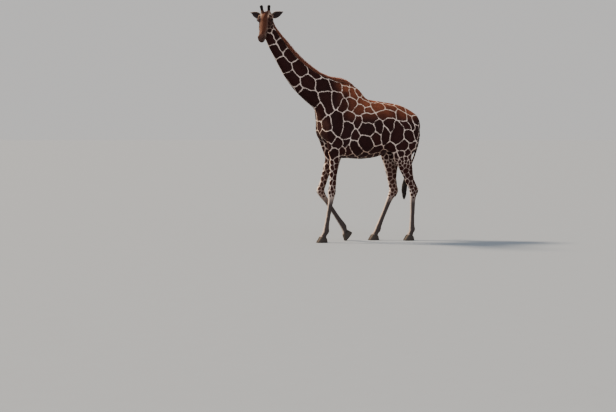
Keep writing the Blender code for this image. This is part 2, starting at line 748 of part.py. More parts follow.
def centre_on_floor(collection):
    """Puts the middle of the whole giraffe's box over the frame's origin."""
    corners = [vert.co for item in collection.objects for vert in item.data.vertices]
    shift_x = -(min(c.x for c in corners) + max(c.x for c in corners)) / 2
    shift_y = -(min(c.y for c in corners) + max(c.y for c in corners)) / 2
    for item in collection.objects:
        item.location = (shift_x, shift_y, 0)


def main():
    clear_scene()
    collection = bpy.data.collections.new(COLLECTION)
    cutters = bpy.data.collections.new(COLLECTION + "_cutters")
    bpy.context.scene.collection.children.link(collection)
    bpy.context.scene.collection.children.link(cutters)
    flesh = fused_flesh(collection)
    soften(flesh)
    grown = swollen(flesh, cutters)
    add_ears(grown, collection)
    add_ossicones(grown, collection)
    add_mane(grown, collection)
    add_tail(grown, collection)
    add_eyes(flesh, cutters, collection)
    part_flesh(flesh, collection)
    add_hooves(collection)
    add_materials(collection)
    centre_on_floor(collection)


main()
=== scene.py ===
"""The look of the reticulated giraffe: one skin, its short coat, mane, tail, eyes and hooves.

Body places are metres in the giraffe's own frame: it heads along -X, its left is -Y, and the
middle of the crown stands at CROWN_AT.  Head places are forward, out to the left, and up.
"""

import json
import math

import bmesh
import bpy
import numpy as np
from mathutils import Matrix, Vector
from mathutils.bvhtree import BVHTree

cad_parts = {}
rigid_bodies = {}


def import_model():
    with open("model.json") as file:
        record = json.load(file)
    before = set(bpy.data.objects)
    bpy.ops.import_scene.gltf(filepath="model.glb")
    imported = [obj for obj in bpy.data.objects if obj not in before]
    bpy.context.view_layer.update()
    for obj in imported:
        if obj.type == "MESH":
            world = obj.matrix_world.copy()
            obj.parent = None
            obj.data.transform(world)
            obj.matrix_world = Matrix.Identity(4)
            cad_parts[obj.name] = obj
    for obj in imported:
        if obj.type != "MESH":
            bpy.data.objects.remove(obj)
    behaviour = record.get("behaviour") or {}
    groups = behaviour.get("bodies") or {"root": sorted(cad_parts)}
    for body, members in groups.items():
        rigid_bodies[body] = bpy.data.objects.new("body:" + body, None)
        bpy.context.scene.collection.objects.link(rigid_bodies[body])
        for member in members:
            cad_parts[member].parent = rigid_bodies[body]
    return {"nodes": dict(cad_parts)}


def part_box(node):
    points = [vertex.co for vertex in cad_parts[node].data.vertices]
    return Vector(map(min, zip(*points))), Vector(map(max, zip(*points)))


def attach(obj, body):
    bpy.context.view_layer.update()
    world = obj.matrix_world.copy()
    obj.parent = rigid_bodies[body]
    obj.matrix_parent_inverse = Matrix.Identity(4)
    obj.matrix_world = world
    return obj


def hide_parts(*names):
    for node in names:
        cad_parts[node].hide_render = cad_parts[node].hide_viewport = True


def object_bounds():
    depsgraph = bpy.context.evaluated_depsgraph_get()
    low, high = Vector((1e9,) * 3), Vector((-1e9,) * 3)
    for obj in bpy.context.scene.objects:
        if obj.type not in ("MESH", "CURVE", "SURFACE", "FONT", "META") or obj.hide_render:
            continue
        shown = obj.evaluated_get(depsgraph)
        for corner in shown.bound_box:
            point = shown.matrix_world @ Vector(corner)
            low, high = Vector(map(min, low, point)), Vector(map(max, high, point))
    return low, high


for item in list(bpy.data.objects):
    bpy.data.objects.remove(item, do_unlink=True)

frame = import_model()
START_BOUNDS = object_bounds()

# ---------------------------------------------------------------- the giraffe's own frames

UP = Vector((0, 0, 1))
HEAD_PITCH = math.radians(49)
EYE_FORWARD, EYE_DOWN = 0.150, 0.082
CROWN_AT = Vector((-2.048, -0.101, 4.340))


def box_middle(node):
    low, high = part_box(node)
    return (low + high) / 2


EYES = {"left": box_middle("eye_left"), "right": box_middle("eye_right")}
EYE_RADIUS = (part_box("eye_left")[1].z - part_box("eye_left")[0].z) / 2
SIDES = {"left": 1, "right": -1}
LEFTWARD = (EYES["left"] - EYES["right"]).normalized()
LOOK = LEFTWARD.cross(UP).normalized()
FORWARD = LOOK * math.cos(HEAD_PITCH) - UP * math.sin(HEAD_PITCH)
UPWARD = LOOK * math.sin(HEAD_PITCH) + UP * math.cos(HEAD_PITCH)
CROWN = (EYES["left"] + EYES["right"]) / 2 - FORWARD * EYE_FORWARD + UPWARD * EYE_DOWN
HOME = CROWN - CROWN_AT
HEAD_AXES = np.array([FORWARD, LEFTWARD, UPWARD])


def body_points(points):
    """Row-frame points in the giraffe's own frame."""
    return points - np.array(HOME)


def head_points(points):
    """Row-frame points as forward, out to the left and up from the crown."""
    return (points - np.array(CROWN)) @ HEAD_AXES.T


def from_head(forward, out, up):
    return CROWN + FORWARD * forward + LEFTWARD * out + UPWARD * up


def ramp(value, low, high):
    """0 below low, 1 above high, and smooth between."""
    t = np.clip((value - low) / (high - low), 0.0, 1.0)
    return t * t * (3 - 2 * t)


def below(value, start, full):
    """0 above start, 1 below full, and smooth between."""
    return ramp(-value, -start, -full)


def mirrored(points):
    """Points brought over to the left side, for what both sides share."""
    return points * (1, 0, 1) + np.abs(points) * (0, 1, 0)


def new_item(name, data):
    """An object of the scene."""
    item = bpy.data.objects.new(name, data)
    bpy.context.scene.collection.objects.link(item)
    return item


def place_piece(item, finish, slot, *nodes):
    """Gives a piece its finish, fixes it to the giraffe and hides the nodes that it takes the place
    of.
    """
    item.data.materials.append(finish)
    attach(item, "root")
    if nodes:
        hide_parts(*nodes)


def unit(vectors):
    return vectors / np.maximum(np.linalg.norm(vectors, axis=1, keepdims=True), 1e-9)


def to_segment(points, start, end):
    """Distance of points to a line between two places, and the way along it."""
    start, end = np.array(start, float), np.array(end, float)
    along = end - start
    way = np.clip(((points - start) @ along) / (along @ along), 0, 1)
    return np.linalg.norm(points - start - way[:, None] * along, axis=1), way


# ---------------------------------------------------------------- the skin's mesh

FLESH = (
    "trunk", "neck_lower", "neck_upper", "head", "lower_jaw", "ear_left", "ear_right", "tail",
    "ossicone_left", "ossicone_right",
    "fore_left_upper", "fore_left_lower", "fore_right_upper", "fore_right_lower",
    "hind_left_upper", "hind_left_lower", "hind_right_upper", "hind_right_lower",
)
HEAD_FLESH = (
    "neck_upper", "head", "lower_jaw", "ear_left", "ear_right", "ossicone_left", "ossicone_right",
)
EYE_NODES = ("eye_left", "eye_right")
# Sizes of the skin's faces, and how much the solids swell so that they meet.
BODY_VOXEL, HEAD_VOXEL = 0.021, 0.0068
SWELL, TAIL_SWELL = 0.0006, 0.010
# The cut across the throat where the finer skin of the head begins.
SEAM_AT = Vector((-1.925, 0.0, 4.065))
SEAM_NORMAL = Vector((-0.75, -0.45, 0.25)).normalized()
SEAM_GAP = 0.002
# Below this height the skin's faces are half as large.
FINE_LEG_Z = 1.50
# How deep under the coat's outer shape its skin lies.
COAT_DEPTH = 0.004


def gathered(names):
    """The CAD nodes' shapes as one welded bmesh, each swollen a little so that they meet.

    The tail is swollen more, as it is thin for the faces of the body.
    """
    bm = bmesh.new()
    for name in names:
        part = bmesh.new()
        part.from_mesh(frame["nodes"][name].data)
        bmesh.ops.remove_doubles(part, verts=part.verts, dist=1e-6)
        part.normal_update()
        for vert in part.verts:
            vert.co = vert.co + vert.normal * (TAIL_SWELL if name == "tail" else SWELL)
        mesh = bpy.data.meshes.new("part")
        part.to_mesh(mesh)
        part.free()
        bm.from_mesh(mesh)
        bpy.data.meshes.remove(mesh)
    return bm


def solids_tree(names):
    """The surface of the named nodes, to measure distances from."""
    bm = gathered(names)
    tree = BVHTree.FromBMesh(bm)
    bm.free()
    return tree


def fused(names, voxel):
    """The named nodes as one closed surface of even small faces."""
    bm = gathered(names)
    mesh = bpy.data.meshes.new("fused")
    bm.to_mesh(mesh)
    bm.free()
    item = new_item("fused", mesh)
    remesh = item.modifiers.new("fuse", "REMESH")
    remesh.mode = "VOXEL"
    remesh.voxel_size = voxel
    graph = bpy.context.evaluated_depsgraph_get()
    result = bmesh.new()
    result.from_mesh(bpy.data.meshes.new_from_object(item.evaluated_get(graph)))
    bpy.data.objects.remove(item)
    return result


def keep_side(bm, place, normal, ahead):
    """Cuts a mesh across and keeps what is ahead of the cut, or what is behind it."""
    everything = bm.verts[:] + bm.edges[:] + bm.faces[:]
    bmesh.ops.bisect_plane(
        bm, geom=everything, dist=1e-6, plane_co=place, plane_no=normal,
        clear_inner=ahead, clear_outer=not ahead,
    )


def subdivided(bm, chosen):
    """Splits the edges of the chosen faces once."""
    edges = {edge for face in chosen for edge in face.edges}
    bmesh.ops.subdivide_edges(bm, edges=list(edges), cuts=1, use_grid_fill=True)


TAIL_TREE = solids_tree(("tail",))
TAIL_ROOT_X, TAIL_ROOT_Z = 0.90, 2.26


def on_tail(place):
    """Whether a place is on the tail's swollen surface, below its root."""
    body = Vector(place) - HOME
    if body.x < TAIL_ROOT_X or body.z > TAIL_ROOT_Z:
        return False
    return TAIL_TREE.find_nearest(place, TAIL_SWELL)[0] is not None


def skin_mesh():
    """The whole skin: a coarse body, fine legs and a finer head, bridged into one surface."""
    body = fused(FLESH + EYE_NODES, BODY_VOXEL)
    place = HOME + SEAM_AT
    keep_side(body, place - SEAM_NORMAL * SEAM_GAP, SEAM_NORMAL, False)
    middles = [(face, face.calc_center_median()) for face in body.faces]
    low = HOME.z + FINE_LEG_Z
    subdivided(body, [face for face, middle in middles if middle.z < low or on_tail(middle)])
    head = fused(HEAD_FLESH + EYE_NODES, HEAD_VOXEL)
    keep_side(head, place + SEAM_NORMAL * SEAM_GAP, SEAM_NORMAL, True)
    mesh = bpy.data.meshes.new("head")
    head.to_mesh(mesh)
    head.free()
    body.from_mesh(mesh)
    bpy.data.meshes.remove(mesh)
    border = [edge for edge in body.edges if edge.is_boundary]
    bmesh.ops.bridge_loops(body, edges=border)
    bmesh.ops.triangulate(body, faces=body.faces)
    bmesh.ops.recalc_face_normals(body, faces=body.faces)
    return body


# ---------------------------------------------------------------- smoothing and sculpting

# How often the skin is smoothed, how firmly, and how much less at the head, legs, ears and tail.
SMOOTHINGS, FIRMNESS = 36, 0.5
HEAD_KEEPS, LEG_KEEPS, THIN_KEEPS, TAIL_KEEPS = 0.35, 0.35, 0.45, 0.9
# The middle of the face, and how far from it the head's own shapes reach.
FACE_MIDDLE = (0.25, 0.0, -0.12)
HEAD_REACH, FACE_REACH = (0.62, 0.50), (0.55, 0.46)


def mesh_arrays(bm):
    """Vertex places, edges and triangles of a bmesh as arrays."""
    bm.verts.ensure_lookup_table()
    bm.verts.index_update()
    places = np.array([vert.co for vert in bm.verts], float)
    edges = np.array([(edge.verts[0].index, edge.verts[1].index) for edge in bm.edges])
    faces = np.array([[vert.index for vert in face.verts] for face in bm.faces])
    return places, edges, faces


def spread_out(values, edges, weights, repeats):
    """Values evened out between neighbours, as far as each one's weight lets it."""
    count = len(values)
    first, second = edges[:, 0], edges[:, 1]
    degree = np.bincount(first, minlength=count) + np.bincount(second, minlength=count)
    degree = np.maximum(degree, 1)
    values = values.reshape(count, -1).copy()
    for _ in range(repeats):
        for column in range(values.shape[1]):
            value = values[:, column]
            total = np.bincount(first, weights=value[second], minlength=count)
            total += np.bincount(second, weights=value[first], minlength=count)
            values[:, column] = value + weights * (total / degree - value)
    return values


def vertex_normals(places, faces):
    a, b, c = (places[faces[:, n]] for n in range(3))
    face_normals = np.cross(b - a, c - a)
    normals = np.zeros_like(places)
    for column in range(3):
        for corner in range(3):
            normals[:, column] += np.bincount(
                faces[:, corner], weights=face_normals[:, column], minlength=len(places)
            )
    return unit(normals)


def region_weights(points):
    """How much each place belongs to the head and to the thin lower legs, ears and tail."""
    body, head = body_points(points), head_points(points)
    near = below(np.linalg.norm(head - np.array(FACE_MIDDLE), axis=1), *HEAD_REACH)
    in_head = near * ramp(head[:, 2], -0.36, -0.27)
    leg = below(body[:, 2], 1.30, 1.00)
    ear = ramp(np.abs(head[:, 1]), 0.100, 0.116) * below(head[:, 0], 0.03, 0.005)
    thin = in_head * np.maximum(ear, ramp(head[:, 2], 0.02, 0.05))
    return in_head, leg, thin


def settle(places, edges, faces):
    """Rounds off the facets, then sets the skin back to its depth under the coat.

    The face's skin lies half as deep, and the thin ears keep all their thickness.
    """
    in_head, leg, thin = region_weights(places)
    tail = np.array([on_tail(Vector(place)) for place in places], float)
    weights = FIRMNESS * (1 - HEAD_KEEPS * in_head) * (1 - LEG_KEEPS * leg)
    weights *= (1 - THIN_KEEPS * thin) * (1 - TAIL_KEEPS * tail)
    smooth = spread_out(places, edges, weights, SMOOTHINGS)
    tree = BVHTree.FromPolygons(places.tolist(), faces.tolist())
    normals = vertex_normals(smooth, faces)
    sunk = np.zeros(len(places))
    for index, (place, normal) in enumerate(zip(smooth, normals)):
        hit, facing, _, distance = tree.find_nearest(Vector(place))
        inward = (Vector(place) - hit).dot(Vector(normal)) < 0
        sunk[index] = distance if inward else -distance
        if facing.dot(Vector(normal)) < 0:  # a thin ear's other side is the nearer one
            sunk[index] = (places[index] - place) @ normal
    sunk = spread_out(sunk, edges, np.full(len(sunk), FIRMNESS), SMOOTHINGS // 2)[:, 0]
    depth = COAT_DEPTH * (1 - 0.5 * in_head) * (1 - thin)
    settled = smooth + normals * (sunk - depth)[:, None]
    return thin_tail(settled, edges, tail)


def thin_tail(places, edges, tail):
    """Draws the swollen tail back to its own thickness."""
    for index in np.flatnonzero(tail):
        hit, normal, _, _ = TAIL_TREE.find_nearest(Vector(places[index]))
        places[index] = hit - normal * (TAIL_SWELL + COAT_DEPTH / 2)
    return spread_out(places, edges, 0.4 * tail, 3)


# Bumps and hollows of both sides of the head: two ends (forward, out, up), radius and height.
HEAD_RELIEF = (
    ((0.085, 0.108, -0.052), (0.185, 0.112, -0.046), 0.016, 0.0075),
    ((0.165, 0.112, -0.128), (0.330, 0.082, -0.152), 0.015, 0.0050),
    ((0.205, 0.100, -0.098), (0.330, 0.070, -0.112), 0.020, -0.0065),
    ((0.055, 0.110, -0.075), (0.000, 0.105, -0.095), 0.022, -0.0060),
    ((0.070, 0.095, -0.195), (0.170, 0.095, -0.185), 0.038, 0.0060),
    ((0.230, 0.080, -0.190), (0.330, 0.070, -0.190), 0.020, -0.0050),
    ((0.360, 0.055, -0.115), (0.500, 0.050, -0.125), 0.018, -0.0045),
    ((0.300, 0.000, -0.050), (0.480, 0.000, -0.095), 0.016, 0.0040),
    ((0.535, 0.058, -0.130), (0.585, 0.044, -0.150), 0.016, 0.0050),
    ((0.000, 0.075, 0.000), (0.050, 0.030, 0.000), 0.018, -0.0040),
    ((0.590, 0.000, -0.196), (0.560, 0.030, -0.208), 0.014, 0.0040),
)
# The slit of a nostril with its radius and depth, and its rim's distance, width and height.
NOSTRIL = ((0.562, 0.048, -0.126), (0.588, 0.030, -0.134), 0.0048, -0.013)
NOSTRIL_RIM = (0.0115, 0.006, 0.0035)
# The mouth from its corner to the lips, its height there and its tilt; the groove between the
# lips, and the lips themselves: height, distance from the groove and width.
MOUTH_START, MOUTH_END = 0.430, 0.640
MOUTH_UP, MOUTH_TILT = -0.184, 0.06
LIP_GROOVE, LIP_GROOVE_WIDTH = 0.0060, 0.0035
LIP_SWELL, LIP_AT, LIP_WIDTH = 0.0030, 0.012, 0.008

# Bumps and hollows of both sides of the body: two ends (x, out, z), radius and height.
BODY_RELIEF = (
    ((-0.48, 0.13, 2.86), (-0.74, 0.26, 2.22), 0.050, 0.012),
    ((-0.60, 0.12, 2.86), (-0.84, 0.22, 2.40), 0.060, -0.012),
    ((-0.36, 0.16, 2.84), (-0.46, 0.30, 2.20), 0.070, -0.012),
    ((-0.80, 0.25, 2.16), (-0.84, 0.24, 2.06), 0.070, 0.014),
    ((-0.72, 0.27, 2.04), (-0.56, 0.29, 1.86), 0.090, 0.012),
    ((-0.50, 0.29, 1.70), (-0.40, 0.26, 1.74), 0.060, -0.014),
    ((-0.92, 0.10, 1.90), (-0.88, 0.14, 1.70), 0.060, 0.012),
    ((0.38, 0.16, 2.56), (0.52, 0.18, 2.44), 0.055, 0.014),
    ((0.26, 0.26, 2.36), (0.34, 0.30, 2.10), 0.090, -0.016),
    ((0.40, 0.30, 1.78), (0.30, 0.26, 1.66), 0.050, 0.012),
    ((0.96, 0.12, 2.34), (1.02, 0.10, 2.20), 0.050, 0.012),
    ((0.86, 0.24, 2.20), (0.84, 0.26, 1.72), 0.045, -0.010),
    ((0.60, 0.31, 2.16), (0.56, 0.30, 1.84), 0.110, 0.012),
    ((-1.92, 0.055, 3.86), (-1.06, 0.150, 2.72), 0.035, -0.012),
    ((-1.84, 0.095, 3.84), (-1.00, 0.190, 2.88), 0.050, 0.007),
)
RIB_START_X, RIB_END_X, RIB_SPACE, RIB_HEIGHT, RIB_SLANT = -0.28, 0.22, 0.085, 0.0010, 0.25

# Each leg: out to the side, then upper joint, knee or hock, and fetlock as (x, z).
LEGS = {
    "fore_left": (-0.19, (-0.70, 1.66), (-0.750, 0.945), (-0.885, 0.212)),
    "fore_right": (0.19, (-0.62, 1.62), (-0.848, 0.955), (-0.385, 0.287)),
    "hind_left": (-0.17, (0.66, 1.66), (0.935, 0.975), (0.905, 0.215)),
    "hind_right": (0.17, (0.60, 1.66), (0.655, 0.950), (0.325, 0.205)),
}


def pushed(places, coords, normals, relief):
    """Raises or sinks the surface along each bump or hollow."""
    for start, end, radius, height in relief:
        distance, _ = to_segment(coords, start, end)
        places = places + normals * (height * np.exp(-((distance / radius) ** 2)))[:, None]
    return places


def sculpt_body(places, normals):
    """Shoulder, hip, throat and flank, and ribs that show faintly."""
    body = body_points(places)
    in_head = region_weights(places)[0]
    places = pushed(places, mirrored(body), normals * (1 - in_head)[:, None], BODY_RELIEF)
    x, z = body[:, 0], body[:, 2]
    beside = ramp(x, RIB_START_X - 0.1, RIB_START_X) * below(x, RIB_END_X + 0.1, RIB_END_X)
    beside *= ramp(z, 1.66, 1.86) * below(z, 2.50, 2.25) * ramp(np.abs(body[:, 1]), 0.2, 0.26)
    slant = x - RIB_SLANT * (z - 2.0)
    ribs = RIB_HEIGHT * np.cos(slant * 2 * math.pi / RIB_SPACE)
    return places + normals * (ribs * beside)[:, None]


# Bumps and hollows of a leg: (back, sideways) of the line, its upper and lower end, radius and
# height.  Those of the cannon bone go by the share of the way from the knee or hock to the
# fetlock, and those of the joint by metres above its middle.
CANNON_RELIEF = (
    ((0.040, 0.055), (0.036, 0.050), (0.12, 0.88), 0.012, -0.0050),
    ((0.040, -0.055), (0.036, -0.050), (0.12, 0.88), 0.012, -0.0050),
    ((0.060, 0.0), (0.060, 0.0), (0.98, 1.03), 0.024, 0.0080),
    ((0.0, 0.055), (0.0, 0.055), (0.96, 1.0), 0.022, 0.0040),
    ((-0.010, 0.045), (-0.02, 0.045), (1.07, 1.13), 0.020, -0.0040),
)
KNEE_RELIEF = (
    ((-0.070, 0.0), (-0.066, 0.0), (0.04, -0.02), 0.036, 0.0060),
    ((0.0, 0.060), (0.0, 0.060), (0.03, -0.03), 0.028, 0.0050),
    ((0.0, -0.060), (0.0, -0.060), (0.03, -0.03), 0.028, 0.0050),
    ((0.066, 0.0), (0.062, 0.0), (0.03, -0.02), 0.024, 0.0080),
)
HOCK_RELIEF = (
    ((0.020, 0.045), (-0.01, 0.060), (0.10, 0.28), 0.024, -0.0120),
    ((0.020, -0.045), (-0.01, -0.060), (0.10, 0.28), 0.024, -0.0120),
    ((-0.02, 0.056), (-0.02, 0.056), (0.01, -0.05), 0.026, 0.0050),
    ((-0.02, -0.056), (-0.02, -0.056), (0.01, -0.05), 0.026, 0.0050),
    ((0.085, 0.0), (0.085, 0.0), (0.03, -0.02), 0.026, 0.0070),
)
FOREARM_HOLLOW = (0.030, -0.0060)


def sculpt_leg(places, normals, leg):
    """Knee or hock bones, the flat cannon bone, its tendons and the fetlock."""
    out, upper, middle, lower = LEGS[leg]
    side = 1 if out > 0 else -1
    relief = []
    for first, second, ways, radius, height in CANNON_RELIEF:
        ends = [
            (middle[0] + (lower[0] - middle[0]) * way + back, out + side * sideways,
             middle[1] + (lower[1] - middle[1]) * way)
            for (back, sideways), way in zip((first, second), ways)
        ]
        relief.append((*ends, radius, height))
    fore = leg.startswith("fore")
    for first, second, rises, radius, height in KNEE_RELIEF if fore else HOCK_RELIEF:
        ends = [
            (middle[0] + back, out + side * sideways, middle[1] + rise)
            for (back, sideways), rise in zip((first, second), rises)
        ]
        relief.append((*ends, radius, height))
    if fore:
        low = (middle[0] + 0.03, out + side * 0.04, middle[1] + 0.16)
        high = (upper[0] + 0.05, out + side * 0.05, upper[1] - 0.2)
        relief.append((low, high, *FOREARM_HOLLOW))
    return pushed(places, body_points(places), normals, relief)


def above_mouth(head):
    """How far places lie over the line of the mouth."""
    return head[:, 2] - (MOUTH_UP + MOUTH_TILT * (head[:, 0] - MOUTH_END))


def sculpt_head(places, normals):
    """Brow, cheek, nostrils, lips and the folds behind the jaw."""
    head = head_points(places)
    inside = normals * region_weights(places)[0][:, None]
    places = pushed(places, mirrored(head), inside, HEAD_RELIEF)
    start, end, radius, depth = NOSTRIL
    distance, _ = to_segment(mirrored(head), start, end)
    rim_at, rim_width, rim_height = NOSTRIL_RIM
    rim = rim_height * np.exp(-(((distance - rim_at) / rim_width) ** 2))
    pit = depth * np.exp(-((distance / radius) ** 4))
    places = places + inside * (rim + pit)[:, None]
    off = above_mouth(head)
    along = ramp(head[:, 0], MOUTH_START - 0.01, MOUTH_START + 0.05) * below(np.abs(off), 0.05, 0.02)
    groove = -LIP_GROOVE * np.exp(-((off / LIP_GROOVE_WIDTH) ** 2))
    swell = LIP_SWELL * np.exp(-(((np.abs(off) - LIP_AT) / LIP_WIDTH) ** 2))
    return places + inside * ((groove + swell) * along)[:, None]


# The way an eye looks: out, ahead and up.
EYE_OUTWARD, EYE_AHEAD, EYE_ABOVE = 0.930, 0.300, 0.060
# The eyelids: how far the opening reaches, in degrees seen from the eyeball's middle.
LID_HALF_WIDTH, LID_ABOVE, LID_BELOW, LID_TILT = 50.0, 32.0, 25.0, 8.0
LID_CURVE = 0.75
LID_THICKNESS = 0.0026
LID_FOLD, LID_FOLD_AT, LID_FOLD_WIDTH = 0.0014, 11.0, 3.0
# Where the lids run out into the face, in degrees, and how far their inner edge lies behind them.
LID_BLEND, LID_REACH = 42.0, 80.0
BEHIND_LID = 0.0050


def eye_axes(side):
    """Outward, forward and upward axes of an eye's opening."""
    sign = SIDES[side]
    outward = (LEFTWARD * (sign * EYE_OUTWARD) + FORWARD * EYE_AHEAD + UPWARD * EYE_ABOVE).normalized()
    forward = (FORWARD - outward * FORWARD.dot(outward)).normalized()
    upward = (UPWARD - outward * UPWARD.dot(outward)).normalized()
    forward = (forward - upward * forward.dot(upward)).normalized()
    turn = math.radians(LID_TILT)
    tilted = forward * math.cos(turn) - upward * math.sin(turn)
    return outward, tilted, (upward * math.cos(turn) + forward * math.sin(turn))


def lid_curve(across):
    """How far the lids are open, as a share, at each angle across the eye."""
    return np.clip(1 - (across / LID_HALF_WIDTH) ** 2, 0, 1) ** LID_CURVE


def lid_angles(places, side):
    """Each place's distance from the eyeball's middle, its angle off the eye's outward axis, how
    many degrees it is outside the lids' opening, and how many above the middle.
    """
    outward, forward, upward = (np.array(axis) for axis in eye_axes(side))
    rel = places - np.array(EYES[side])
    distance = np.linalg.norm(rel, axis=1)
    rel = rel / np.maximum(distance, 1e-6)[:, None]
    off = np.degrees(np.arccos(np.clip(rel @ outward, -1, 1)))
    across = np.degrees(np.arctan2(rel @ forward, np.maximum(rel @ outward, 1e-3)))
    rise = np.degrees(np.arcsin(np.clip(rel @ upward, -1, 1)))
    reach = lid_curve(across)
    half = np.where(rise > 0, LID_ABOVE, LID_BELOW) * reach
    beside = np.maximum(np.abs(across) - LID_HALF_WIDTH, 0)
    outside = np.where(np.abs(across) < LID_HALF_WIDTH, np.abs(rise) - half, np.hypot(beside, rise))
    return distance, off, outside, rise


def sculpt_lids(places, side):
    """Wraps the skin over the eyeball, with an almond opening, a rim and a fold above."""
    distance, off, outside, rise = lid_angles(places, side)
    near = distance < EYE_RADIUS * 2.2
    fold = LID_FOLD * np.exp(-(((outside - LID_FOLD_AT) / LID_FOLD_WIDTH) ** 2)) * (rise > 0)
    lid = EYE_RADIUS + LID_THICKNESS * (0.55 + 0.45 * ramp(outside, 0, 6)) - fold
    over = np.maximum(distance, lid)
    blended = over + (distance - over) * ramp(off, LID_BLEND, LID_REACH)
    inner = EYE_RADIUS - BEHIND_LID
    target = inner + (blended - inner) * ramp(outside, -2.0, 1.0)
    target = np.where(near & (off < LID_REACH), target, distance)
    rel = places - np.array(EYES[side])
    return np.array(EYES[side]) + rel * (target / np.maximum(distance, 1e-6))[:, None]


# Where the skin's mesh is made finer: lips and nostrils as (forward, out, up) and radius, and
# twice round each eye.
FINE_SPOTS = (
    ((0.58, 0.0, -0.17), 0.080),
    ((0.57, -0.04, -0.128), 0.030),
    ((0.57, 0.04, -0.128), 0.030),
)
FINE_EYE = (0.050, 0.041)


def refined(bm):
    """Finer faces round the eyes, the nostrils and the lips."""
    spots = [(EYES[side], radius) for radius in FINE_EYE for side in SIDES]
    spots += [(from_head(*spot), radius) for spot, radius in FINE_SPOTS]
    for middle, radius in spots:
        apart = [(face, face.calc_center_median() - middle) for face in bm.faces]
        subdivided(bm, [face for face, offset in apart if offset.length < radius])
        bmesh.ops.triangulate(bm, faces=[face for face in bm.faces if len(face.verts) > 3])


def set_places(bm, places):
    for vert, place in zip(bm.verts, places):
        vert.co = place


def make_skin():
    """The skin's places and triangles, settled and sculpted."""
    bm = skin_mesh()
    places, edges, faces = mesh_arrays(bm)
    set_places(bm, settle(places, edges, faces))
    refined(bm)
    places, edges, faces = mesh_arrays(bm)
    bm.free()
    near_eye = sum(
        below(np.linalg.norm(places - np.array(EYES[side]), axis=1), 0.060, 0.045) for side in SIDES
    )
    places = spread_out(places, edges, 0.4 * np.clip(near_eye, 0, 1), 6)
    normals = vertex_normals(places, faces)
    places = sculpt_body(places, normals)
    for leg in LEGS:
        places = sculpt_leg(places, normals, leg)
    places = sculpt_head(places, normals)
    for side in SIDES:
        places = sculpt_lids(places, side)
    return places, faces


SKIN_PLACES, SKIN_FACES = make_skin()
SKIN_NORMALS = vertex_normals(SKIN_PLACES, SKIN_FACES)
SKIN_MIDDLES = SKIN_PLACES[SKIN_FACES].mean(axis=1)

# ---------------------------------------------------------------- the reticulated pattern

# The patches of the left side: each has a core from one (x, z) to another and a girth around it.
NECK_FRONT_PATCHES = (
    ((-1.95, 3.85), (-1.93, 3.80), 0.10), ((-1.86, 3.64), (-1.82, 3.58), 0.12),
    ((-1.70, 3.38), (-1.64, 3.32), 0.14), ((-1.54, 3.13), (-1.48, 3.05), 0.14),
    ((-1.40, 2.92), (-1.37, 2.88), 0.11),
)
NECK_BACK_PATCHES = (
    ((-1.83, 3.93), (-1.81, 3.89), 0.09), ((-1.72, 3.75), (-1.68, 3.69), 0.11),
    ((-1.58, 3.57), (-1.54, 3.51), 0.12), ((-1.41, 3.32), (-1.35, 3.24), 0.13),
)
TRUNK_PATCHES = (
    ((-1.25, 3.04), (-1.21, 3.02), 0.14), ((-0.95, 2.97), (-0.88, 2.99), 0.12),
    ((-1.27, 2.79), (-1.14, 2.69), 0.15), ((-0.90, 2.75), (-0.80, 2.55), 0.10),
    ((-0.64, 2.72), (-0.70, 2.61), 0.09), ((-0.70, 3.02), (-0.59, 2.96), 0.07),
    ((-0.44, 2.92), (-0.44, 2.81), 0.06), ((-0.31, 2.87), (-0.28, 2.79), 0.06),
    ((-0.57, 2.55), (-0.50, 2.63), 0.08), ((-0.37, 2.67), (-0.35, 2.58), 0.08),
    ((-0.25, 2.50), (-0.18, 2.53), 0.08), ((-0.13, 2.66), (-0.05, 2.62), 0.06),
    ((-0.04, 2.52), (0.01, 2.51), 0.05), ((-0.46, 2.39), (-0.39, 2.37), 0.09),
    ((-0.26, 2.33), (-0.26, 2.24), 0.07), ((-0.08, 2.36), (0.03, 2.35), 0.09),
    ((-0.67, 2.38), (-0.66, 2.14), 0.12), ((-0.88, 2.27), (-0.89, 2.21), 0.10),
    ((-0.97, 2.53), (-0.97, 2.40), 0.09), ((-0.46, 2.20), (-0.53, 2.06), 0.10),
    ((-0.92, 2.03), (-0.83, 1.99), 0.10), ((-0.31, 2.05), (-0.31, 2.00), 0.06),
    ((-0.15, 2.15), (-0.05, 2.15), 0.12), ((0.14, 2.24), (0.16, 2.14), 0.08),
    ((-1.02, 1.97), (-0.97, 1.86), 0.06), ((-0.70, 1.89), (-0.66, 1.86), 0.08),
    ((-0.86, 1.77), (-0.86, 1.72), 0.09), ((-0.77, 1.64), (-0.72, 1.71), 0.06),
    ((-0.35, 1.84), (-0.23, 1.72), 0.09), ((-0.15, 1.92), (-0.05, 1.83), 0.12),
    ((0.10, 2.01), (0.11, 1.92), 0.08), ((-0.51, 1.91), (-0.51, 1.84), 0.05),
    ((0.24, 2.42), (0.44, 2.44), 0.07), ((0.14, 2.58), (0.22, 2.58), 0.09),
    ((0.39, 2.27), (0.40, 2.21), 0.11), ((0.55, 2.18), (0.53, 1.98), 0.12),
    ((0.30, 2.12), (0.29, 1.97), 0.08), ((0.68, 2.27), (0.75, 2.21), 0.07),
    ((0.76, 2.06), (0.80, 1.97), 0.08), ((0.63, 1.84), (0.67, 1.84), 0.10),
    ((0.42, 1.83), (0.44, 1.77), 0.07), ((0.40, 2.60), (0.50, 2.55), 0.06),
    ((0.63, 2.44), (0.68, 2.35), 0.07), ((0.84, 2.33), (0.88, 2.21), 0.05),
    ((0.96, 2.20), (0.97, 2.04), 0.04), ((0.63, 2.59), (0.70, 2.55), 0.04),
    ((0.06, 1.74), (0.16, 1.77), 0.06), ((0.75, 1.71), (0.75, 1.69), 0.06),
    ((-0.44, 1.80), (-0.43, 1.71), 0.06), ((0.84, 1.84), (0.84, 1.81), 0.06),
)
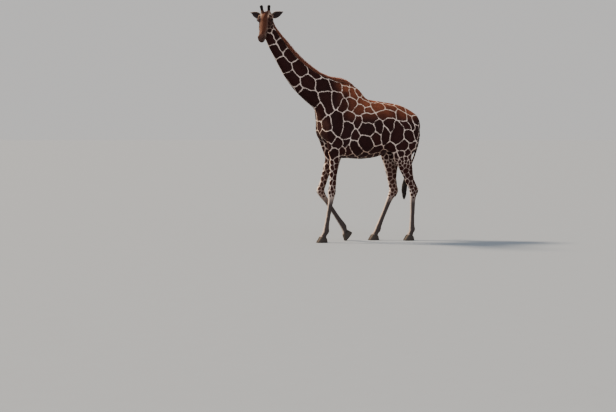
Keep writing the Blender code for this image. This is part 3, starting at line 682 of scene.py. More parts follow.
BIG_PATCHES = NECK_FRONT_PATCHES + NECK_BACK_PATCHES + TRUNK_PATCHES
# The right side's patches are shifted (x, z) and stray from a mirror of the left side's.
OTHER_SIDE_SHIFT, OTHER_SIDE_STRAY = (0.07, -0.05), 0.045
PATTERN_SEED = 11
# Girth of a scattered patch for its spacing, of a big one for its listed girth, and how much of
# their girths two patches keep between them.  Patches that start further apart than the widest
# gap can't touch.
GIRTH_SHARE, CORE_SLACK, CLEAR_SHARE = 0.42, 0.95, 0.96
WIDEST_GAP = 0.6
# Where the neck leaves the trunk, the way it goes and how much its patches stretch along it.
NECK_START, NECK_WAY, NECK_STRETCH = (-0.9, 0.0, 2.8), (-0.64, 0.0, 0.77), 0.10
# The least that patches lie apart on the body, and how far apart they lie on the head.
LEAST_SPACING, HEAD_SPACING = 0.055, 0.072
# The lines waver by 10 mm over 160 mm on the neck and trunk, and by 3 mm over 50 mm everywhere.
BROAD_WAVER, SMALL_WAVER = (0.16, 0.010), (0.05, 0.003)


def patch_spacing(body, head):
    """How far apart the patches lie: wide on the trunk, narrow on the lower legs and cheeks."""
    x, z = body[:, 0], body[:, 2]
    size = 0.066 + 0.038 * ramp(z, 0.90, 1.25) + 0.100 * ramp(z, 1.46, 1.80)
    size = size + 0.03 * ramp(-x, 0.6, 0.9) * ramp(z, 2.3, 2.7)
    size = size - 0.05 * ramp(x, 0.25, 0.5) * below(z, 1.85, 1.60) * ramp(z, 1.35, 1.55)
    size = np.maximum(size, LEAST_SPACING)
    in_head = ramp(head[:, 2], -0.38, -0.30) * below(np.linalg.norm(head, axis=1), 0.78, 0.70)
    return size * (1 - in_head) + HEAD_SPACING * in_head


def core_offsets(points, starts, ends):
    """From the nearest place of each core to its point."""
    along = ends - starts
    square = np.maximum((along ** 2).sum(-1), 1e-9)
    way = np.clip(((points - starts) * along).sum(-1) / square, 0, 1)
    return points - starts - way[..., None] * along


def scattered(points, spacing, cores, girths, rng):
    """Picks points at least their own girth apart, and clear of the cores that are already there."""
    order = rng.permutation(len(points))
    count = len(girths)
    starts, ends = (np.zeros((count + len(points), 3)) for _ in range(2))
    radii = np.zeros(count + len(points))
    starts[:count], ends[:count], radii[:count] = cores[0], cores[1], girths
    for index in order:
        near = np.abs(starts[:count] - points[index]).max(axis=1) < WIDEST_GAP
        gap = core_offsets(points[index][None], starts[:count][near], ends[:count][near])
        own = GIRTH_SHARE * spacing[index]
        if np.all(np.linalg.norm(gap, axis=1) > CLEAR_SHARE * (radii[:count][near] + own)):
            starts[count] = ends[count] = points[index]
            radii[count] = own
            count += 1
    return starts[:count], ends[:count], radii[:count]


def side_cores(tree):
    """The big patches set onto both flanks: the right side strays from a mirror of the left."""
    rng = np.random.default_rng(PATTERN_SEED)
    starts, ends, girths = [], [], []
    for start, end, girth in BIG_PATCHES:
        stray = rng.uniform(-OTHER_SIDE_STRAY, OTHER_SIDE_STRAY, 2)
        for side, (dx, dz) in ((-1, (0, 0)), (1, OTHER_SIDE_SHIFT + stray)):
            begins = [HOME + Vector((x + dx, side, z + dz)) for x, z in (start, end)]
            hits = [tree.ray_cast(begin, Vector((0, -side, 0)), 1.1)[0] for begin in begins]
            hits = [hit for hit in hits if hit is not None]
            if hits:
                starts.append(np.array(hits[0]))
                ends.append(np.array(hits[-1]))
                girths.append(girth * CORE_SLACK)
    return body_points(np.array(starts)), body_points(np.array(ends)), np.array(girths)


def up_the_neck(body):
    """How far places lie up the neck from where it leaves the trunk."""
    return (body - np.array(NECK_START)) @ np.array(NECK_WAY)


def warped(body):
    """Places in the pattern's own space, where patches of the neck are as long as they are wide."""
    neck = ramp(-body[:, 0], 0.75, 1.2)[:, None]
    return body - (NECK_STRETCH * neck * up_the_neck(body)[:, None]) * np.array(NECK_WAY)


def wobble(body, scale, size):
    """A small wavering, so that the lines are not straight."""
    p = body * (2 * math.pi / scale)
    waves = np.stack((
        np.sin(p[:, 1] * 1.1 + 1.3 * np.sin(p[:, 2])) + np.sin(p[:, 2] * 0.7 + 2.0),
        np.sin(p[:, 2] * 0.9 + 1.7 * np.sin(p[:, 0])) + np.sin(p[:, 0] * 1.3 + 0.5),
        np.sin(p[:, 0] * 1.2 + 1.1 * np.sin(p[:, 1])) + np.sin(p[:, 1] * 0.8 + 4.0),
    ), axis=1)
    return waves * (size / 2)


def plan_patches():
    """The cores of all patches, in the pattern's space, with each one's girth and tone."""
    tree = BVHTree.FromPolygons(SKIN_PLACES.tolist(), SKIN_FACES.tolist())
    starts, ends, girths = side_cores(tree)
    body, head = body_points(SKIN_PLACES), head_points(SKIN_PLACES)
    rng = np.random.default_rng(PATTERN_SEED)
    starts, ends, girths = scattered(body, patch_spacing(body, head), (starts, ends), girths, rng)
    return warped(starts), warped(ends), girths, rng.uniform(0, 1, len(girths))


PATCH_STARTS, PATCH_ENDS, PATCH_GIRTHS, PATCH_TONES = plan_patches()
# How softly two borders meet at a corner, and how many patches are looked at for each place.
BORDER_ROUNDING = 0.0030
NEAR_PATCHES = 10
PLACES_AT_ONCE = 20000


def patch_fields(points):
    """Distance inside the nearest patch's border, that patch's tone, and distance from its core."""
    body = body_points(points)
    broad = wobble(body, *BROAD_WAVER) * ramp(body[:, 2], 1.2, 1.9)[:, None]
    place = warped(body) + (broad + wobble(body, *SMALL_WAVER))
    middles = (PATCH_STARTS + PATCH_ENDS) / 2
    reach = PATCH_GIRTHS + np.linalg.norm(PATCH_ENDS - PATCH_STARTS, axis=1) / 2
    border, tone, middle = (np.zeros(len(points)) for _ in range(3))
    for start in range(0, len(points), PLACES_AT_ONCE):
        these = slice(start, start + PLACES_AT_ONCE)
        part = place[these]
        square = (part ** 2).sum(1)[:, None] + (middles ** 2).sum(1)[None] - 2 * part @ middles.T
        near = np.argpartition(square - reach[None] ** 2, NEAR_PATCHES, axis=1)[:, :NEAR_PATCHES]
        offsets = core_offsets(part[:, None], PATCH_STARTS[near], PATCH_ENDS[near])
        power = (offsets ** 2).sum(-1) - PATCH_GIRTHS[near] ** 2
        order = np.argsort(power, axis=1)
        near = np.take_along_axis(near, order, 1)
        power = np.take_along_axis(power, order, 1)
        offsets = np.take_along_axis(offsets, order[:, :, None], 1)
        apart = np.linalg.norm(offsets[:, 1:] - offsets[:, :1], axis=2)
        gap = np.clip((power[:, 1:] - power[:, :1]) / (2 * np.maximum(apart, 1e-3)), 0, 0.3)
        border[these] = -BORDER_ROUNDING * np.log(np.exp(-gap / BORDER_ROUNDING).sum(1))
        tone[these] = PATCH_TONES[near[:, 0]]
        middle[these] = np.linalg.norm(offsets[:, 0], axis=1) / PATCH_GIRTHS[near[:, 0]]
    return border, tone, middle


# ---------------------------------------------------------------- the colours of the coat

def linear(code):
    """An sRGB hex colour as linear red, green and blue."""
    values = [int(code[n:n + 2], 16) / 255 for n in (1, 3, 5)]
    return np.array([v / 12.92 if v <= 0.04045 else ((v + 0.055) / 1.055) ** 2.4 for v in values])


PATCH_DARK = linear("#200808")
PATCH_WARM = linear("#3a130d")
# The back's lighter orange patches are painted sunlight on its upward-facing top.
PATCH_SUNLIT_BACK = linear("#925035")
PATCH_LEG = linear("#341510")
CREAM = linear("#e6d2c6")
# The back's paler lines are painted sunlight on its upward-facing top.
CREAM_SUNLIT_BACK = linear("#efd3bd")
LEG_CREAM = linear("#c6b1a6")
# The legs' pale front edges are painted sunlight.
LEG_FRONT_SUNLIT = linear("#ead9cd")
SHIN_GREY = linear("#38302f")
# The legs' inner sides: their fainter patches are the coat's own, but the darker grey-brown of their
# lines is painted shade.
LEG_INSIDE, LEG_INSIDE_BLOTCH = linear("#72584c"), linear("#42241c")
# The tan under the belly is painted shade on its downward-facing side.
BELLY_SHADE_TAN = linear("#a27c66")
NOSE_BROWN = linear("#4e2a1c")
NOSE_SIDE = linear("#3a1c17")
CHEEK_PALE = linear("#b09787")
CHEEK_SPOT = linear("#2c100c")
# The muzzle's own hair is a lighter grey-brown; this darker brown adds painted shade.
MUZZLE_SHADED_BROWN = linear("#3c241e")
# The darker chin below the mouth is painted shade.
CHIN_SHADE = linear("#2c1613")
LID_DARK = linear("#150d0c")
EAR_INSIDE = linear("#2e2425")
EAR_BACK = linear("#6f5548")
EAR_EDGE = linear("#c9b3a4")
HORN_BROWN = linear("#4a2217")
HORN_TIP = linear("#120c0c")
NOSTRIL_DARK = linear("#1c1110")
# The eye as (forward, out, up), and the tail's two ends as (x, y, z).
EYE_SPOT = (EYE_FORWARD, 0.125, -EYE_DOWN)
TAIL_CORE = ((1.143, 0.03, 2.20), (0.988, 0.247, 1.28))
# Half the width of the lines between the patches.
LINE_WIDTH_BODY, LINE_WIDTH_LEG = 0.0082, 0.0042
# Heights between which a marking sets in, from none to full; the belly's band sets in painted shade,
# and the back's band painted sunlight.
LEG_BAND, SHIN_BAND = (1.70, 1.40), (0.98, 0.70)
BELLY_BAND, TAIL_BAND, SUNLIT_BACK_BAND = (1.95, 1.72), (2.15, 1.95), (2.25, 2.5)
# Where the patches end on the forelegs and on the hindlegs.
PLAIN_BELOW_Z = (0.86, 0.82)
# How far out from the head's middle an ear begins, and how far ahead of the crown it ends.
EAR_START, EAR_BAND = 0.125, (0.07, 0.03)
# The dark patches beside the nose: (forward, out, up), radius and strength.
NOSE_SIDES = (((0.24, 0.085, -0.095), 0.17, 0.85), ((0.42, 0.070, -0.140), 0.12, 0.80))
# An ossicone's root (forward, out, up), the way it points and its length.
HORN_ROOT, HORN_AIM, HORN_LENGTH = (0.0, 0.062, -0.012), (-0.55, 0.12, 0.82), 0.12


def mixed(first, second, share):
    """Colours or directions blended by a share for each place."""
    share = np.asarray(share)[:, None]
    return first * (1 - share) + second * share


def painted(ground, layers):
    """A ground colour with others laid over it one by one, each by its share at each place."""
    for colour, share in layers:
        ground = mixed(ground, colour, share)
    return ground


def near_spot(head, spot, radius):
    """1 at a place of the head on both sides, falling to 0 at the radius."""
    return below(np.linalg.norm(mirrored(head) - np.array(spot), axis=1), radius, radius * 0.35)


def on_horn(head):
    """1 on an ossicone and 0 off it, and the way up the nearer one."""
    aim = np.array(HORN_AIM) / np.linalg.norm(HORN_AIM)
    distance, way = to_segment(mirrored(head), HORN_ROOT, np.array(HORN_ROOT) + HORN_LENGTH * aim)
    return below(distance, 0.040, 0.031) * ramp(way, 0.05, 0.30), way


def in_the_head(head):
    """1 on the head, falling to 0 behind the jaw."""
    near = below(np.linalg.norm(head - np.array(FACE_MIDDLE), axis=1), *FACE_REACH)
    return near * ramp(head[:, 2], -0.34, -0.27)


def coat_colours(points, normals):
    """Distance inside a patch's border, the lines' colour and the patch's colour at each place."""
    body, head = body_points(points), head_points(points)
    border, tone, middle = patch_fields(points)
    x, z = body[:, 0], body[:, 2]
    leg, shin = below(z, *LEG_BAND), below(z, *SHIN_BAND)
    under_knee = np.where(x < 0, *PLAIN_BELOW_Z) - z
    bare = ramp(under_knee, -0.08, 0.10)
    # ridge: the upward-facing top of the back, where sunlight is painted into the patches and lines.
    ridge = ramp(normals[:, 2], 0.02, 0.60) * ramp(x, -0.75, -0.35) * ramp(z, *SUNLIT_BACK_BAND)
    # inner: the legs' inner sides; their darker grey-brown lines are painted shade, their fainter
    # patches the coat's own.
    inner = leg * ramp(-normals[:, 1] * np.sign(body[:, 1]), 0.0, 0.6) * (1 - shin)
    # front: the legs' forward-facing edges, painted paler and with fewer patches as sunlight.
    front = leg * ramp(-normals[:, 0], 0.55, 0.95)
    # under: the belly's downward-facing side, painted tan as shade.
    under = ramp(-normals[:, 2], -0.1, 0.5) * below(z, *BELLY_BAND) * (1 - leg)
    tail = below(to_segment(body, *TAIL_CORE)[0], 0.060, 0.045) * below(z, *TAIL_BAND)
    fine = np.maximum(leg, in_the_head(head))
    # What is taken off the border widens the lines, and enough of it leaves no patch.
    border = border - (LINE_WIDTH_BODY * (1 - fine) + LINE_WIDTH_LEG * fine)
    # Taking 0.010 off the border at the legs' front edges is part of their painted sunlight.
    border = border - 0.03 * bare - 0.3 * ramp(under_knee, 0.10, 0.20) - 0.010 * front - 0.004 * inner
    blotch = painted(PATCH_DARK, (
        (PATCH_WARM, 0.10 + 0.35 * tone),
        (PATCH_SUNLIT_BACK, 0.80 * ridge * (0.6 + 0.4 * tone)),
        (PATCH_LEG, 0.7 * leg),
    ))
    blotch = blotch * (1.12 - 0.22 * np.clip(middle, 0, 1))[:, None]
    blotch = mixed(blotch, LEG_INSIDE_BLOTCH, 0.6 * inner)
    ground = painted(CREAM, (
        (CREAM_SUNLIT_BACK, ridge),
        (LEG_CREAM, leg),
        (SHIN_GREY, 0.96 * shin),
        (LEG_INSIDE, 0.75 * inner),
        (LEG_FRONT_SUNLIT, (0.90 - 0.25 * bare) * front),
        (BELLY_SHADE_TAN, 0.7 * under),
        (blotch, 0.75 * tail),
    ))
    return face_colours(head, normals, border, ground, blotch)


def face_colours(head, normals, border, ground, blotch):
    """The head's colours: brown bridge, pale cheeks with spots, lids, ears and ossicones, and a muzzle
    whose dark brown is partly painted shade, darker still with painted shade on the chin.
    """
    face = in_the_head(head)
    forward, out, up = head[:, 0], np.abs(head[:, 1]), head[:, 2]
    bridge = face * below(out, 0.085, 0.045) * ramp(up, -0.150, -0.100)
    muzzle = face * ramp(forward, 0.46, 0.53)
    # chin: below the mouth line, painted darker as shade.
    chin = ramp(MOUTH_UP + 0.004 - up, -0.004, 0.006)
    slit = to_segment(mirrored(head), *NOSTRIL[:2])[0]
    poll = face * below(forward, 0.07, 0.02) * ramp(up, -0.16, -0.09)
    lids = near_spot(head, EYE_SPOT, 0.060)
    horn, way = on_horn(head)
    ear = face * ramp(out, EAR_START - 0.01, EAR_START + 0.012) * below(forward, *EAR_BAND)
    facing = normals @ np.array(LOOK)
    ground = painted(ground, (
        (CHEEK_PALE, face),
        *[(NOSE_SIDE, most * face * near_spot(head, *spot)) for *spot, most in NOSE_SIDES],
        (NOSE_BROWN, bridge),
        # The muzzle's dark brown and the chin's darker brown carry painted shade.
        (MUZZLE_SHADED_BROWN, 0.94 * muzzle),
        (CHIN_SHADE, 0.80 * muzzle * chin),
        (NOSTRIL_DARK, below(slit, 0.010, 0.004)),
        (NOSE_SIDE, 0.80 * near_spot(head, EYE_SPOT, 0.110)),
        (LID_DARK, near_spot(head, EYE_SPOT, 0.040)),
        (NOSE_SIDE, 0.6 * poll),
        (HORN_BROWN, horn),
        (HORN_TIP, horn * ramp(way, 0.14, 0.34)),
        (EAR_BACK, ear),
        (EAR_INSIDE, ear * ramp(facing, 0.0, 0.35)),
        (EAR_EDGE, 0.8 * ear * below(np.abs(facing), 0.75, 0.30)),
    ))
    plain = np.max((bridge, face * ramp(forward, 0.40, 0.50), poll, lids, horn), axis=0)
    border = border - 0.12 * plain - 0.3 * ear
    return border, ground, mixed(blotch, CHEEK_SPOT, face)


# ---------------------------------------------------------------- how the coat lies

# The way the hair points on the trunk, the neck and the legs.
TRUNK_FLOW, NECK_FLOW, LEG_FLOW = (0.92, 0.0, -0.38), (0.62, 0.0, -0.78), (0.12, 0.0, -1.0)


def lie_of_coat(points, normals):
    """The way the hair points at each place, along the surface."""
    body, head = body_points(points), head_points(points)
    face = in_the_head(head)
    neck = ramp(-body[:, 0], 0.55, 1.05)
    low = below(body[:, 2], 1.90, 1.55)
    beside = ramp(np.abs(head[:, 1]), EAR_START - 0.01, EAR_START + 0.01)
    ear = face * beside * below(head[:, 0], *EAR_BAND)
    flow = painted(np.array(TRUNK_FLOW), ((np.array(NECK_FLOW), neck), (np.array(LEG_FLOW), low)))
    flow[:, 1] += 0.12 * np.sign(body[:, 1]) * (1 - low)
    flow = painted(flow, (
        (np.array(UPWARD * 0.25 - FORWARD), face),
        (np.outer(np.sign(head[:, 1]), LEFTWARD), ear),
        (np.array(UPWARD - FORWARD * 0.5), on_horn(head)[0]),
    ))
    flow = flow - normals * (flow * normals).sum(1)[:, None]
    return unit(flow)


# ---------------------------------------------------------------- finishes

# Sizes in metres.  A hair of the coat is 0.08 mm thick, too fine to show: it is drawn as clumps
# 3 mm wide and, where it lies flat, 25 mm long.
HAIR_CLUMP, CLUMP_STRETCH = 0.003, 0.88
# The hairs along a patch's edge break it up every 11 mm, within a band of 10 mm, and blur it
# over 4 mm.
EDGE_LENGTH, EDGE_BAND, EDGE_BLUR = 0.01111, 0.010, 0.0022
# The coat is a little lighter and darker from one 143 mm to the next.
COAT_CLOUD = 0.1429
# A hoof's growth rings are 14 mm apart and its dirt lies in spots of 29 mm.  The wave repeats
# every pi / 10 at a scale of 1.
RING_SPACE, DIRT_SPOT = 0.01428, 0.02857
# The fibres of an iris are 0.1 mm thick, too fine to show: they are drawn 4 mm apart.
IRIS_FIBRE = 0.003846
# The roller's overlaps on the floor's paint come every 333 mm.
FLOOR_CLOUD = 0.3333


def add_node(tree, kind, inputs=(), output=0, **settings):
    """Adds a node with its settings, its inputs' values or links, and returns one of its outputs."""
    made = tree.nodes.new("ShaderNode" + kind)
    for name, value in settings.items():
        setattr(made, name, value)
    for name, value in dict(inputs).items():
        if isinstance(value, bpy.types.NodeSocket):
            tree.links.new(value, made.inputs[name])
        else:
            made.inputs[name].default_value = value
    return made.outputs[output] if made.outputs else None


def new_finish(name):
    """A material with nothing in it, and its node tree."""
    material = bpy.data.materials.new(name)
    material.use_nodes = True
    material.node_tree.nodes.clear()
    return material, material.node_tree


def rgba(colour):
    return (*[float(v) for v in colour], 1.0)


def coat_finish(name, lies_flat):
    """Giraffe's coat: short stiff hair, as it grew, each hair a thread of dull keratin.

    It gives the eye dark chestnut patches parted by ragged cream lines, with no gloss and only a
    trace of sheen at the edges.  The hair that lies flat is streaked and finely ridged along its
    lie; that of the tufts stands free, so it has no ridges and every tuft is a shade of its own.
    """
    material, tree = new_finish(name)
    place = add_node(tree, "NewGeometry", output="Position")
    border = add_node(tree, "Attribute", output="Fac", attribute_name="border")
    ground = add_node(tree, "Attribute", output="Color", attribute_name="ground")
    blotch = add_node(tree, "Attribute", output="Color", attribute_name="blotch")
    edge = add_node(tree, "TexNoise", {"Vector": place, "Scale": 1 / EDGE_LENGTH, "Detail": 3.0})
    broken = add_node(tree, "Math", {0: edge, 1: EDGE_BAND, 2: border}, operation="MULTIPLY_ADD")
    ends = {1: EDGE_BAND / 2 - EDGE_BLUR, 2: EDGE_BAND / 2 + EDGE_BLUR}
    inside = add_node(tree, "MapRange", {0: broken, **ends}, interpolation_type="SMOOTHSTEP")
    marked = add_node(tree, "Mix", {0: inside, 6: ground, 7: blotch}, 2, data_type="RGBA")
    drawn_out = place
    if lies_flat:
        lie = add_node(tree, "Attribute", output="Vector", attribute_name="lie")
        way = add_node(tree, "VectorMath", {0: place, 1: lie}, "Value", operation="DOT_PRODUCT")
        back = add_node(tree, "Math", {0: way, 1: -CLUMP_STRETCH}, operation="MULTIPLY")
        drawn_out = add_node(tree, "VectorMath", {0: lie, 1: back, 2: place}, operation="MULTIPLY_ADD")
    streak = add_node(tree, "TexNoise", {"Vector": drawn_out, "Scale": 1 / HAIR_CLUMP, "Detail": 4.0})
    cloud = add_node(tree, "TexNoise", {"Vector": place, "Scale": 1 / COAT_CLOUD, "Detail": 2.0})
    streaked = add_node(tree, "Math", {0: streak, 1: 0.50, 2: 0.75}, operation="MULTIPLY_ADD")
    clouded = add_node(tree, "Math", {0: cloud, 1: 0.30, 2: 0.85}, operation="MULTIPLY_ADD")
    light = add_node(tree, "Math", {0: streaked, 1: clouded}, operation="MULTIPLY")
    if not lies_flat:
        shade = add_node(tree, "Attribute", output="Fac", attribute_name="shade")
        light = add_node(tree, "Math", {0: light, 1: shade}, operation="MULTIPLY")
    both = {0: 1.0, 6: marked, 7: light}
    looks = {
        "Base Color": add_node(tree, "Mix", both, 2, data_type="RGBA", blend_type="MULTIPLY"),
        "Roughness": add_node(tree, "Math", {0: streak, 1: 0.20, 2: 0.58}, operation="MULTIPLY_ADD"),
        "IOR": 1.45,
        "Specular IOR Level": 0.18,
        "Sheen Weight": 0.03,
        "Sheen Roughness": 0.45,
    }
    if lies_flat:
        ridges = {"Height": streak, "Strength": 0.45, "Distance": HAIR_CLUMP}
        looks["Normal"] = add_node(tree, "Bump", ridges)
    shader = add_node(tree, "BsdfPrincipled", looks)
    add_node(tree, "OutputMaterial", {"Surface": shader})
    return material


def hair_finish(name, root, tip, sheen):
    """Long coarse hair of mane, tail or lashes, as it grew: keratin with a half gloss.

    It gives the eye separate locks, each of its own shade, and paler from root to tip.
    """
    material, tree = new_finish(name)
    way = add_node(tree, "Attribute", output="Fac", attribute_name="way")
    shade = add_node(tree, "Attribute", output="Fac", attribute_name="shade")
    place = add_node(tree, "NewGeometry", output="Position")
    colour = add_node(tree, "Mix", {0: way, 6: rgba(root), 7: rgba(tip)}, 2, data_type="RGBA")
    streak = add_node(tree, "TexNoise", {"Vector": place, "Scale": 1 / HAIR_CLUMP, "Detail": 3.0})
    streaked = add_node(tree, "Math", {0: streak, 1: 0.40, 2: 0.80}, operation="MULTIPLY_ADD")
    light = add_node(tree, "Math", {0: streaked, 1: shade}, operation="MULTIPLY")
    both = {0: 1.0, 6: colour, 7: light}
    shader = add_node(tree, "BsdfPrincipled", {
        "Base Color": add_node(tree, "Mix", both, 2, data_type="RGBA", blend_type="MULTIPLY"),
        "Roughness": 0.50,
        "IOR": 1.55,
        "Specular IOR Level": 0.35,
        "Sheen Weight": sheen,
        "Normal": add_node(tree, "Bump", {"Height": streak, "Strength": 0.3, "Distance": 0.001}),
    })
    add_node(tree, "OutputMaterial", {"Surface": shader})
    return material


def hoof_finish():
    """Hoof horn: hard keratin, grown in rings and worn dull by the ground.

    It gives the eye a grey-brown wall with faint level rings, and dirt that dulls and stains it.
    """
    material, tree = new_finish("hoof_horn")
    place = add_node(tree, "NewGeometry", output="Position")
    wave = {"Vector": place, "Scale": math.pi / 10 / RING_SPACE, "Distortion": 5.0, "Detail": 3.0}
    rings = add_node(tree, "TexWave", wave, "Fac", bands_direction="Z")
    dirt = add_node(tree, "TexNoise", {"Vector": place, "Scale": 1 / DIRT_SPOT, "Detail": 5.0})
    stain = {0: dirt, 6: rgba(linear("#1e1a18")), 7: rgba(linear("#463c35"))}
    stained = add_node(tree, "Mix", stain, 2, data_type="RGBA")
    light = add_node(tree, "Math", {0: rings, 1: 0.25, 2: 0.80}, operation="MULTIPLY_ADD")
    height = add_node(tree, "Math", {0: dirt, 1: 0.6, 2: rings}, operation="MULTIPLY_ADD")
    both = {0: 1.0, 6: stained, 7: light}
    shader = add_node(tree, "BsdfPrincipled", {
        "Base Color": add_node(tree, "Mix", both, 2, data_type="RGBA", blend_type="MULTIPLY"),
        "Roughness": add_node(tree, "Math", {0: dirt, 1: 0.3, 2: 0.52}, operation="MULTIPLY_ADD"),
        "IOR": 1.54,
        "Specular IOR Level": 0.30,
        "Normal": add_node(tree, "Bump", {"Height": height, "Strength": 0.20, "Distance": 0.0015}),
    })
    add_node(tree, "OutputMaterial", {"Surface": shader})
    return material


def eye_finish():
    """A living eye: a clear cornea kept smooth and wet by the lids, over the iris.

    It gives the eye's keen small highlight on a very dark brown iris with a wide level pupil.
    """
    material, tree = new_finish("wet_eye")
    place = add_node(tree, "NewGeometry", output="Position")
    off = add_node(tree, "Attribute", output="Fac", attribute_name="pupil")
    fibres = add_node(tree, "TexNoise", {"Vector": place, "Scale": 1 / IRIS_FIBRE, "Detail": 3.0})
    browns = {0: fibres, 6: rgba(linear("#120804")), 7: rgba(linear("#2c170b"))}
    iris = add_node(tree, "Mix", browns, 2, data_type="RGBA")
    pupil = add_node(tree, "MapRange", {0: off, 1: 1.12, 2: 0.92}, interpolation_type="SMOOTHSTEP")
    black = {0: pupil, 6: iris, 7: rgba(linear("#050404"))}
    shader = add_node(tree, "BsdfPrincipled", {
        "Base Color": add_node(tree, "Mix", black, 2, data_type="RGBA"),
        "Roughness": add_node(tree, "Math", {0: fibres, 1: 0.03, 2: 0.04}, operation="MULTIPLY_ADD"),
        "IOR": 1.376,
        "Specular IOR Level": 0.16,
        "Normal": add_node(tree, "Bump", {"Height": fibres, "Strength": 0.02, "Distance": 0.0005}),
    })
    add_node(tree, "OutputMaterial", {"Surface": shader})
    return material


def floor_finish():
    """Studio floor: painted board, rolled on matt, an even pale grey with the faintest clouds."""
    material, tree = new_finish("pale_floor")
    place = add_node(tree, "NewGeometry", output="Position")
    cloud = add_node(tree, "TexNoise", {"Vector": place, "Scale": 1 / FLOOR_CLOUD, "Detail": 4.0})
    light = add_node(tree, "Math", {0: cloud, 1: 0.04, 2: 0.98}, operation="MULTIPLY_ADD")
    both = {0: 1.0, 6: rgba(linear("#85919e")), 7: light}
    shader = add_node(tree, "BsdfPrincipled", {
        "Base Color": add_node(tree, "Mix", both, 2, data_type="RGBA", blend_type="MULTIPLY"),
        "Roughness": 0.9,
        "Normal": add_node(tree, "Bump", {"Height": cloud, "Strength": 0.02, "Distance": 0.002}),
    })
    add_node(tree, "OutputMaterial", {"Surface": shader})
    return material


# ---------------------------------------------------------------- tufts and locks

def give(mesh, name, values, kind="FLOAT"):
    """A named value on each vertex."""
    data = mesh.attributes.new(name, kind, "POINT").data
    field = {"FLOAT": "value", "FLOAT_VECTOR": "vector", "FLOAT_COLOR": "color"}[kind]
    values = np.asarray(values, np.float32)
    if kind == "FLOAT_COLOR":
        values = np.concatenate((values, np.ones((len(values), 1), np.float32)), axis=1)
    data.foreach_set(field, values.ravel())


def built_mesh(name, places, faces):
    """A smooth mesh object from arrays of places and triangles."""
    mesh = bpy.data.meshes.new(name)
    mesh.vertices.add(len(places))
    mesh.vertices.foreach_set("co", np.asarray(places, np.float32).ravel())
    mesh.loops.add(len(faces) * 3)
    mesh.loops.foreach_set("vertex_index", np.asarray(faces, np.int32).ravel())
    mesh.polygons.add(len(faces))
    mesh.polygons.foreach_set("loop_start", np.arange(0, len(faces) * 3, 3, dtype=np.int32))
    mesh.polygons.foreach_set("use_smooth", np.ones(len(faces), bool))
    mesh.update()
    mesh.validate()
    return new_item(name, mesh)


def locks(lines, sides, widths, thickness):
    """Closed three-sided locks along many lines at once.

    lines is lock by step by place, sides the flat way across each, widths lock by step; the
    last step is the tip.  Returns places, triangles and how many places a lock has.
    """
    count, steps = lines.shape[:2]
    along = np.gradient(lines, axis=1)
    along /= np.maximum(np.linalg.norm(along, axis=2, keepdims=True), 1e-9)
    across = sides[:, None, :] - along * (along * sides[:, None, :]).sum(2, keepdims=True)
    across /= np.maximum(np.linalg.norm(across, axis=2, keepdims=True), 1e-9)
    top = np.cross(along, across)
    half = widths[:, :-1, None] / 2
    body = lines[:, :-1]
    left = body - across[:, :-1] * half
    right = body + across[:, :-1] * half
    ridge = body + top[:, :-1] * (half * 2 * thickness)
    rings = np.stack((left, right, ridge), axis=2).reshape(count, -1, 3)
    places = np.concatenate((rings, lines[:, -1:]), axis=1)
    size = places.shape[1]
    faces = [(0, 2, 1)]
    around = ((0, 1), (1, 2), (2, 0))
    for a in range(0, (steps - 2) * 3, 3):
        for n, m in around:
            faces += [(a + n, a + m, a + 3 + m), (a + n, a + 3 + m, a + 3 + n)]
    faces += [(size - 4 + n, size - 4 + m, size - 1) for n, m in around]
    faces = np.array(faces)[None] + (np.arange(count) * size)[:, None, None]
    return places.reshape(-1, 3), faces.reshape(-1, 3), size


def set_normals(item, normals):
    item.data.normals_split_custom_set_from_vertices(np.asarray(normals, float).tolist())


# ---------------------------------------------------------------- the skin and the ossicones

# Where the skin's piece ends and an ossicone's begins.
HORN_SPLIT = 0.5


def skin_piece(name, chosen, slot, finish, nodes):
    """Some of the skin's faces as a piece, with its markings and the lie of its hair."""
    used, faces = np.unique(SKIN_FACES[chosen], return_inverse=True)
    places, normals = SKIN_PLACES[used], SKIN_NORMALS[used]
    item = built_mesh(name, places, faces.reshape(-1, 3))
    border, ground, blotch = coat_colours(places, normals)
    give(item.data, "border", border)
    give(item.data, "ground", ground, "FLOAT_COLOR")
    give(item.data, "blotch", blotch, "FLOAT_COLOR")
    give(item.data, "lie", lie_of_coat(places, normals), "FLOAT_VECTOR")
    set_normals(item, normals)
    place_piece(item, finish, slot, *nodes)


def dress_in_skin():
    """The skin and, as pieces of their own, its two ossicones."""
    head = head_points(SKIN_MIDDLES)
    horn = on_horn(head)[0] > HORN_SPLIT
    finish = coat_finish("short_haired_skin", True)
    flesh = [name for name in FLESH if not name.startswith("ossicone")]
    skin_piece("skin", ~horn, "coat", finish, flesh)
    for side, sign in SIDES.items():
        node = "ossicone_" + side
        skin_piece(node + "_skin", horn & (head[:, 1] * sign > 0), "ossicone", finish, (node,))


dress_in_skin()


# ---------------------------------------------------------------- the coat's tufts

# How many times over the tufts cover the skin, and the most that one piece has.
COVERAGE, MOST_TUFTS = 1.5, 49400
# How far along a tuft each of its corners takes its marking from, and where its tip takes it.
TUFT_WAY, MARKING_REACH = np.array((0.0, 0.0, 0.4, 1.0)), 0.85
# How high the legs' pieces of the coat reach.
LEG_TOP = 1.60
# A tuft's root lies this deep, its ridge this far along it, and the ridge and the tip stand above
# the skin by a height and a share of the tuft's length.
ROOT_DEPTH, RIDGE_WAY = 0.0008, 0.35
RIDGE_RISE, TIP_RISE = (0.0012, 0.065), (0.0010, 0.06, 0.14)
# How much tufts turn from the lie of the coat, in radians, and bend, as a share of their length.
TUFT_TURN, TUFT_BEND = 0.22, 0.08


